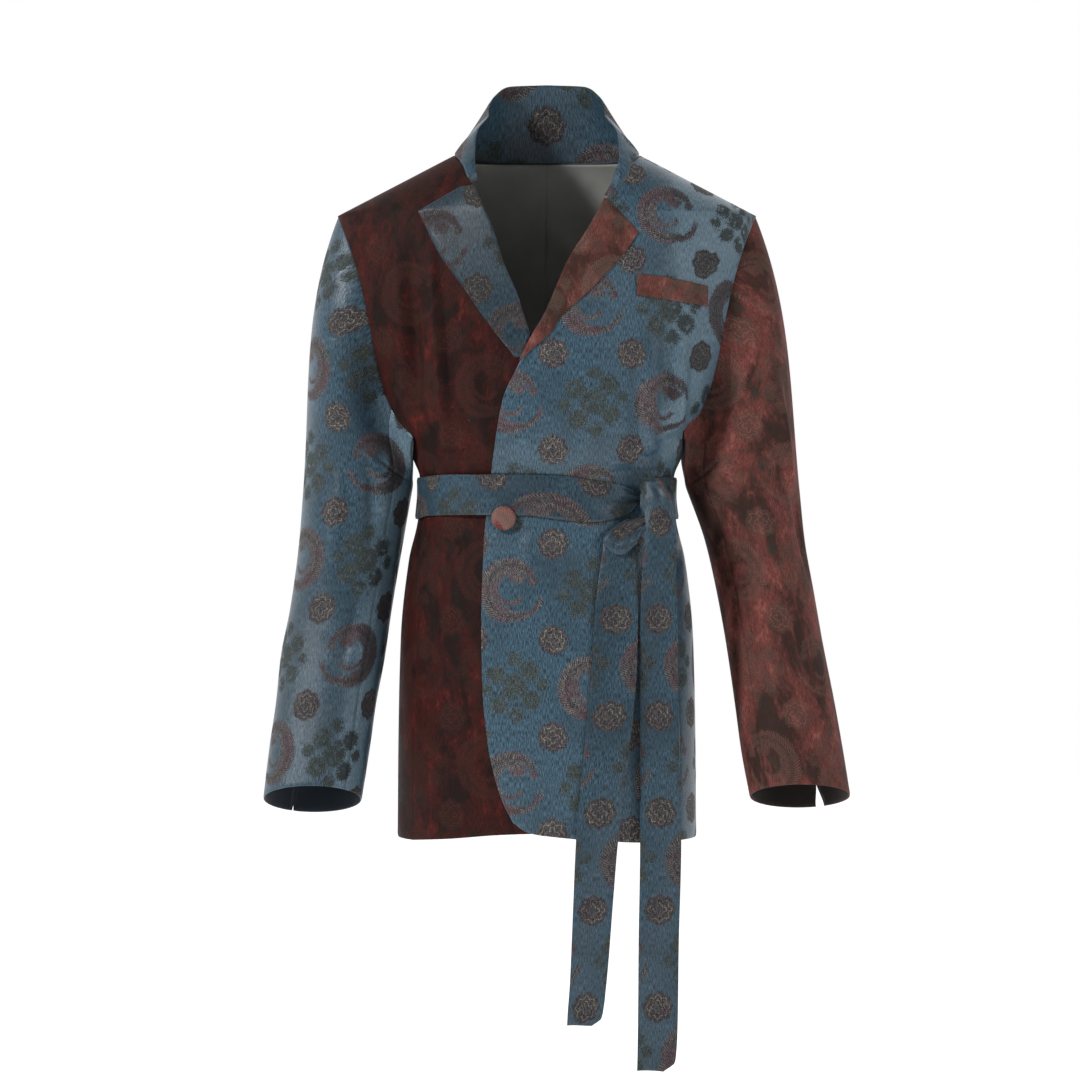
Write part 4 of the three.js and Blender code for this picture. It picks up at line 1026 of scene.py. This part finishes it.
SLEEVE_ROWS = np.concatenate([
    [0, 0.006, 0.014], finer([0.03, 0.13, 0.36, 0.6, 0.8, 1], 9),
    finer([1, 1.27, 1.56, 1.84, 1.98], 12)[1:], [1.985, 1.993, 1.998, 2]])
SLEEVE_GRAIN_RADIUS = 56
# Each piece of a sleeve: name, columns, cut size and the share of it that the cloth fills
SLEEVE_PARTS = [("top", 84, (195, 660), 0.85), ("under", 72, (165, 560), 0.8)]


def build_sleeve(side, rows, vent_angle, vent_length, materials):
    prefix = "right" if side < 0 else "left"
    vent_start = 2 - vent_length / (rows["z"][-1] - rows["z"][0])
    for part, columns, cut, share in SLEEVE_PARTS:
        u, along = grid(eased(columns), SLEEVE_ROWS)
        opening = vent_angle * smooth(along, vent_start, 2) - SLEEVE_SEAM_LAP
        if part == "top":
            angle = mix(BACK_SLEEVE_SEAM + opening, FRONT_SLEEVE_SEAM + SLEEVE_SEAM_LAP, u)
        else:
            angle = mix(FRONT_SLEEVE_SEAM - SLEEVE_SEAM_LAP, BACK_SLEEVE_SEAM + TURN - opening, u)
        points = sleeve_surface(rows, side, angle, along)
        grain = grain_of(angle * SLEEVE_GRAIN_RADIUS * side, points[..., 2])
        sew(f"{prefix}_sleeve_{part}", points, grain, CLOTH, side, materials)


build_sleeve(-1, RIGHT_SLEEVE, 0.014, 7, (blue_sleeve, blue_inside))
build_sleeve(1, LEFT_SLEEVE, 0.095, 24, (red_sleeve, red_inside))


# The belt

BELT_MATERIALS = (blue_belt, blue_belt)
BELT_SOFT_EDGE = 0.9
BELT_LEVEL = -352.0
BAND_CUT = (760, 44)
BAND_START_TUCK = 9
BAND_END_TUCK = 12
BAND_GRAIN_START = 22


def build_belt_band():
    """The band starts under the knot, runs round the body and ends under the knot again."""
    start = angle_of(KNOT_LEFT_X + BAND_START_TUCK, np.array(BELT_LEVEL))
    end = angle_of(BAND_END_X - BAND_END_TUCK, np.array(BELT_LEVEL)) - TURN
    u, v = grid(eased(330), eased(16))
    angle = mix(start, end, u)
    x = ring_point(angle, BELT_LEVEL + 0 * angle)[..., 0]
    front = np.cos(angle) > 0
    near = front & (x > BELT_FRONT["x"][0]) & (u < 0.5)
    share = np.where(near, 1 - smooth(x, -120, -134), 0)
    pinch = smooth(x, 80, 94) * near
    top = mix(BELT_BACK_TOP, read(BELT_FRONT, "top", x), share) - 2.5 * pinch
    low = mix(BELT_BACK_LOW, read(BELT_FRONT, "low", x), share) + 3.5 * pinch
    raised = OVERLAP_LIFT * overlap_share(x) * smooth(x, -112, -72)
    lift = BELT_GAP + BELT_CLOTH + np.where(front & (u < 0.6), raised, 0)
    broad = 1.9 * np.sin(v * 8.5 + 1.1) * smooth(x, 46, 84)
    narrow = np.sin(v * 15 + 2.4) * smooth(x, 62, 86)
    gathers = (broad + narrow) * (front & (u < 0.5)) * np.sin(HALF * v) ** 0.4
    ripple = 0.5 * np.sin(angle * 7 + 2 * v) * np.sin(HALF * v)
    points = torso(angle, mix(low, top, v), lift + gathers + ripple, 0.0)
    grain = grain_of(u * BAND_CUT[0] + BAND_GRAIN_START, (v - 0.5) * BAND_CUT[1])
    sew("belt_band", points, grain, BELT_CLOTH, -1, BELT_MATERIALS, soft_edge=BELT_SOFT_EDGE)


TAIL_GRAIN_WIDTH = 42
# The turned tops of the tails, over and under the knot: z, left, right and y
SHORT_TAIL_TURN = [
    (-409.4, 57.2, 93, -105), (-401, 58, 95, -102), (-392, 60.5, 98, -98.5), (-384, 69, 101, -95.5),
    (-377, 82, 104, -93)]
LONG_TAIL_TURN = [
    (-345, 97, 125, -99), (-338.5, 98.5, 122.5, -97.5), (-334.5, 100.5, 119.5, -92.5),
    (-336, 102, 117, -87.5), (-344, 103, 114, -84.5), (-352, 103, 112, -84)]


def tail_path(rows, turn_back):
    """Return a tail's levels, edges and depth from its low end up, and over its turned top."""
    low, high = rows["z"][0], rows["z"][-1]
    levels = np.append([low, low + 0.6, low + 1.6], np.linspace(low + 4, high, 170))
    path = np.stack([levels] + [read(rows, name, levels) for name in ("left", "right", "y")], axis=-1)
    fine = np.linspace(0, len(turn_back) - 1, 40)[1:]
    extra = [np.interp(fine, np.arange(len(turn_back)), column) for column in zip(*turn_back)]
    return np.concatenate([path, np.stack(extra, axis=-1)])


def build_tail(name, rows, turn_back, curl, trim=0.0):
    """Build a hanging end of the belt; trim takes that share off the outer corner of its end."""
    path = tail_path(rows, turn_back)
    u = eased(22)[:, None]
    z, left, right, y = (column[None, :] for column in path.T)
    run = z - rows["z"][0]
    gather = smooth(z, -372, -345)
    wave = curl * np.sin(HALF * (u * 1.4 - run / 190)) * (1 - gather)
    edge = 0.9 * np.sin(run / 37 + u * 2.2) * np.abs(u - 0.5) * (1 - gather)
    pleat = 1.3 * np.sin(u * 13) * gather
    corner = 1 - trim * np.clip(1 - run / 9, 0, 1) ** 2 * u ** 4
    x = mix(left, left + (right - left) * corner, u)
    points = np.stack([x, y + wave + edge + pleat, z + 0 * x], axis=-1)
    steps = np.linalg.norm(np.diff(path[:, [0, 3]], axis=0), axis=-1)
    length = np.append(0, np.cumsum(steps)) + rows["z"][0]
    grain = grain_of((u - 0.5) * TAIL_GRAIN_WIDTH + 0 * x, length + 0 * x)
    sew(name, points, grain, BELT_CLOTH, 1, BELT_MATERIALS, BELT_SOFT_EDGE)


def ring_mesh(name, points, grain, material):
    """Build a closed skin from rings of points, an array of shape (rows, around, 3)."""
    rows, around = points.shape[:2]
    index = np.arange(rows * around).reshape(rows, around)
    after = np.roll(index, -1, axis=1)
    faces = np.stack([index[:-1], after[:-1], after[1:], index[1:]], -1).reshape(-1, 4).tolist()
    faces.append(index[0][::-1].tolist())
    faces.append(index[-1].tolist())
    return add_mesh(name, points.reshape(-1, 3), faces, grain.reshape(-1, 2), (material,))


KNOT_GRAIN_RADIUS = 18


def build_knot():
    z = np.linspace(KNOT["z"][0], KNOT["z"][-1], 120)[:, None]
    turn = np.linspace(0, TURN, 120, endpoint=False)[None, :]
    low = KNOT["z"][0]
    pleats = 0.12 * np.sin(turn * 5 + z * 0.06) + 0.07 * np.sin(turn * 11 - z * 0.09 + 1)
    pleats = pleats * smooth(z, low + 4, low + 20) * (0.3 + 0.7 * np.clip(-np.sin(turn), 0, 1))
    lip = np.sqrt(1 - smooth(low + 5 - z, 0, 7) * 0.75)
    slim = 1 - 0.3 * smooth(z, -380, -370)
    wide, deep = read(KNOT, "wide", z) * (0.6 + 0.4 * lip) * slim, read(KNOT, "deep", z) * lip
    x = read(KNOT, "x", z) + wide * (1 + 0.4 * pleats) * np.cos(turn)
    hollow = 6.5 * np.exp(-((z + 389) / 8) ** 2) * np.clip(-np.sin(turn), 0, 1) ** 2
    y = read(KNOT, "y", z) + deep * (1 + 1.3 * pleats) * np.sin(turn) + hollow
    sag = 5.5 * (1 - np.cos(turn) ** 2 * 1.6) * (1 - smooth(z, low, low + 22))
    points = np.stack([x, y, z - sag], axis=-1)
    grain = grain_of(turn * KNOT_GRAIN_RADIUS + 0 * x, z + 0 * x)
    dress(ring_mesh("belt_knot", points, grain, blue_belt), "belt_knot")


build_belt_band()
build_tail("belt_tail_long", LONG_TAIL, LONG_TAIL_TURN, 2, trim=0.16)
build_tail("belt_tail_short", SHORT_TAIL, SHORT_TAIL_TURN, 1.5)
build_knot()


# Welt and button

WELT_LEFT_X, WELT_RIGHT_X = 92.4, 167
WELT_LOW = (-146, -156)
WELT_TOP = (-124, -135)
WELT_BOW = 1.5
BUTTON_X, BUTTON_Z = -43.6, -377.0
BUTTON_RADIUS, BUTTON_THICKNESS = 12.8, 5.5
BUTTON_SEAT, BUTTON_CLEARANCE = 0.8, 0.2
# The button's profile: share of the radius, and height, where 1 is its back and 2 its face
BUTTON_PROFILE = [
    (0.18, 0), (0.18, 1), (0.8, 1), (0.96, 1.2), (1, 1.4), (0.93, 1.66), (0.72, 1.86), (0.4, 1.97),
    (0.05, 2)]


def build_welt():
    u, v = grid(eased(60), eased(18))
    x = mix(WELT_LEFT_X, WELT_RIGHT_X, u)
    z = mix(mix(*WELT_LOW, u), mix(*WELT_TOP, u) + WELT_BOW * np.sin(HALF * u) * v, v)
    lift = OVERLAP_LIFT * overlap_share(x) + LAY_GAP + CLOTH
    points = torso(angle_of(x, z), z, lift, 0.0)
    sew("breast_welt", points, grain_of(x, z), CLOTH, 1, (red_trim, red_inside), soft_edge=0.8)


def build_button():
    level = np.array(BUTTON_Z)
    angle = angle_of(np.array(BUTTON_X), level)
    seat = torso(angle, level, OVERLAP_LIFT + BUTTON_SEAT, 0.0)
    out = ring_normal(angle, level)
    side = unit(np.cross(out, [0, 0, 1.0]))
    shank = BELT_CLOTH + LAY_GAP + BUTTON_CLEARANCE
    share, h = np.array(BUTTON_PROFILE).T
    heights = np.where(h <= 1, h * shank, shank + BUTTON_THICKNESS * (h - 1))
    rows = np.linspace(0, len(h) - 1, 49)
    radius = np.interp(rows, np.arange(len(h)), share * BUTTON_RADIUS)[:, None]
    height = np.interp(rows, np.arange(len(h)), heights)[:, None, None]
    turn = np.linspace(0, TURN, 64, endpoint=False)
    ring = np.cos(turn)[:, None] * side + np.sin(turn)[:, None] * np.cross(side, out)
    points = seat + radius[..., None] * ring + height * out
    grain = grain_of(radius * np.cos(turn), radius * np.sin(turn))
    dress(ring_mesh("button", points, grain, red_button), "button")


build_welt()
build_button()


# Camera, light and ground

LIGHT_TARGET = Vector((0, 0, -0.4))
# Each light: name, place, power in watts, width and height
LIGHTS = [("key", (-2.2, -1.8, 1.4), 76, (0.4, 0.4)), ("fill", (2.4, -1.2, 0.5), 17, (0.5, 1.0))]
GROUND_LEVEL = -1.05
GROUND_NEAR = -3.0
GROUND_REACH = 6.0
WORLD_BEHIND, WORLD_FRONT = 1.0, 0.15
# The camera stands level in front of the garment, with a long lens; place in metres, the rest in mm
CAMERA_PLACE = (-0.00735, -3.825, -0.399)
CAMERA_LENS, CAMERA_SENSOR = 120, 36


def add_light(name, place, power, size):
    data = bpy.data.lights.new(name, "AREA")
    data.energy = power
    data.shape = "RECTANGLE"
    data.size, data.size_y = size
    light = bpy.data.objects.new(name, data)
    light.location = place
    light.rotation_euler = (LIGHT_TARGET - Vector(place)).to_track_quat("-Z", "Y").to_euler()
    bpy.context.scene.collection.objects.link(light)


def add_ground():
    mesh = bpy.data.meshes.new("ground")
    ends = ((-1, GROUND_NEAR), (1, GROUND_NEAR), (1, GROUND_REACH), (-1, GROUND_REACH))
    corners = [(GROUND_REACH * side, y, GROUND_LEVEL) for side, y in ends]
    mesh.from_pydata(corners, [], [(0, 1, 2, 3)])
    material, _, shader = new_material("ground")
    shader.inputs["Base Color"].default_value = (0.93, 0.93, 0.93, 1)
    shader.inputs["Roughness"].default_value = 0.9
    shader.inputs["Emission Color"].default_value = (1, 1, 1, 1)
    shader.inputs["Emission Strength"].default_value = 0.55
    mesh.materials.append(material)
    ground = bpy.data.objects.new("ground", mesh)
    bpy.context.scene.collection.objects.link(ground)


def add_world():
    """A white studio, brightest behind the garment and dimmer in front of it."""
    world = bpy.data.worlds.new("studio")
    world.use_nodes = True
    tree = world.node_tree
    place = tree.nodes.new("ShaderNodeTexCoord")
    parts = tree.nodes.new("ShaderNodeSeparateXYZ")
    tree.links.new(place.outputs["Generated"], parts.inputs[0])
    bright = Wave(tree, parts.outputs["Y"]).step(-0.4, 0.6) * (WORLD_BEHIND - WORLD_FRONT) + WORLD_FRONT
    tree.links.new(bright.socket, tree.nodes["Background"].inputs["Strength"])
    tree.nodes["Background"].inputs["Color"].default_value = (1, 1, 1, 1)
    bpy.context.scene.world = world


add_ground()
add_world()
for light in LIGHTS:
    add_light(*light)

camera_data = bpy.data.cameras.new("camera")
camera_data.lens = CAMERA_LENS
camera_data.sensor_width = CAMERA_SENSOR
camera = bpy.data.objects.new("camera", camera_data)
camera.location = CAMERA_PLACE
camera.rotation_euler = (QUARTER, 0, 0)
bpy.context.scene.collection.objects.link(camera)
bpy.context.scene.camera = camera
bpy.context.scene.view_settings.view_transform = "Standard"
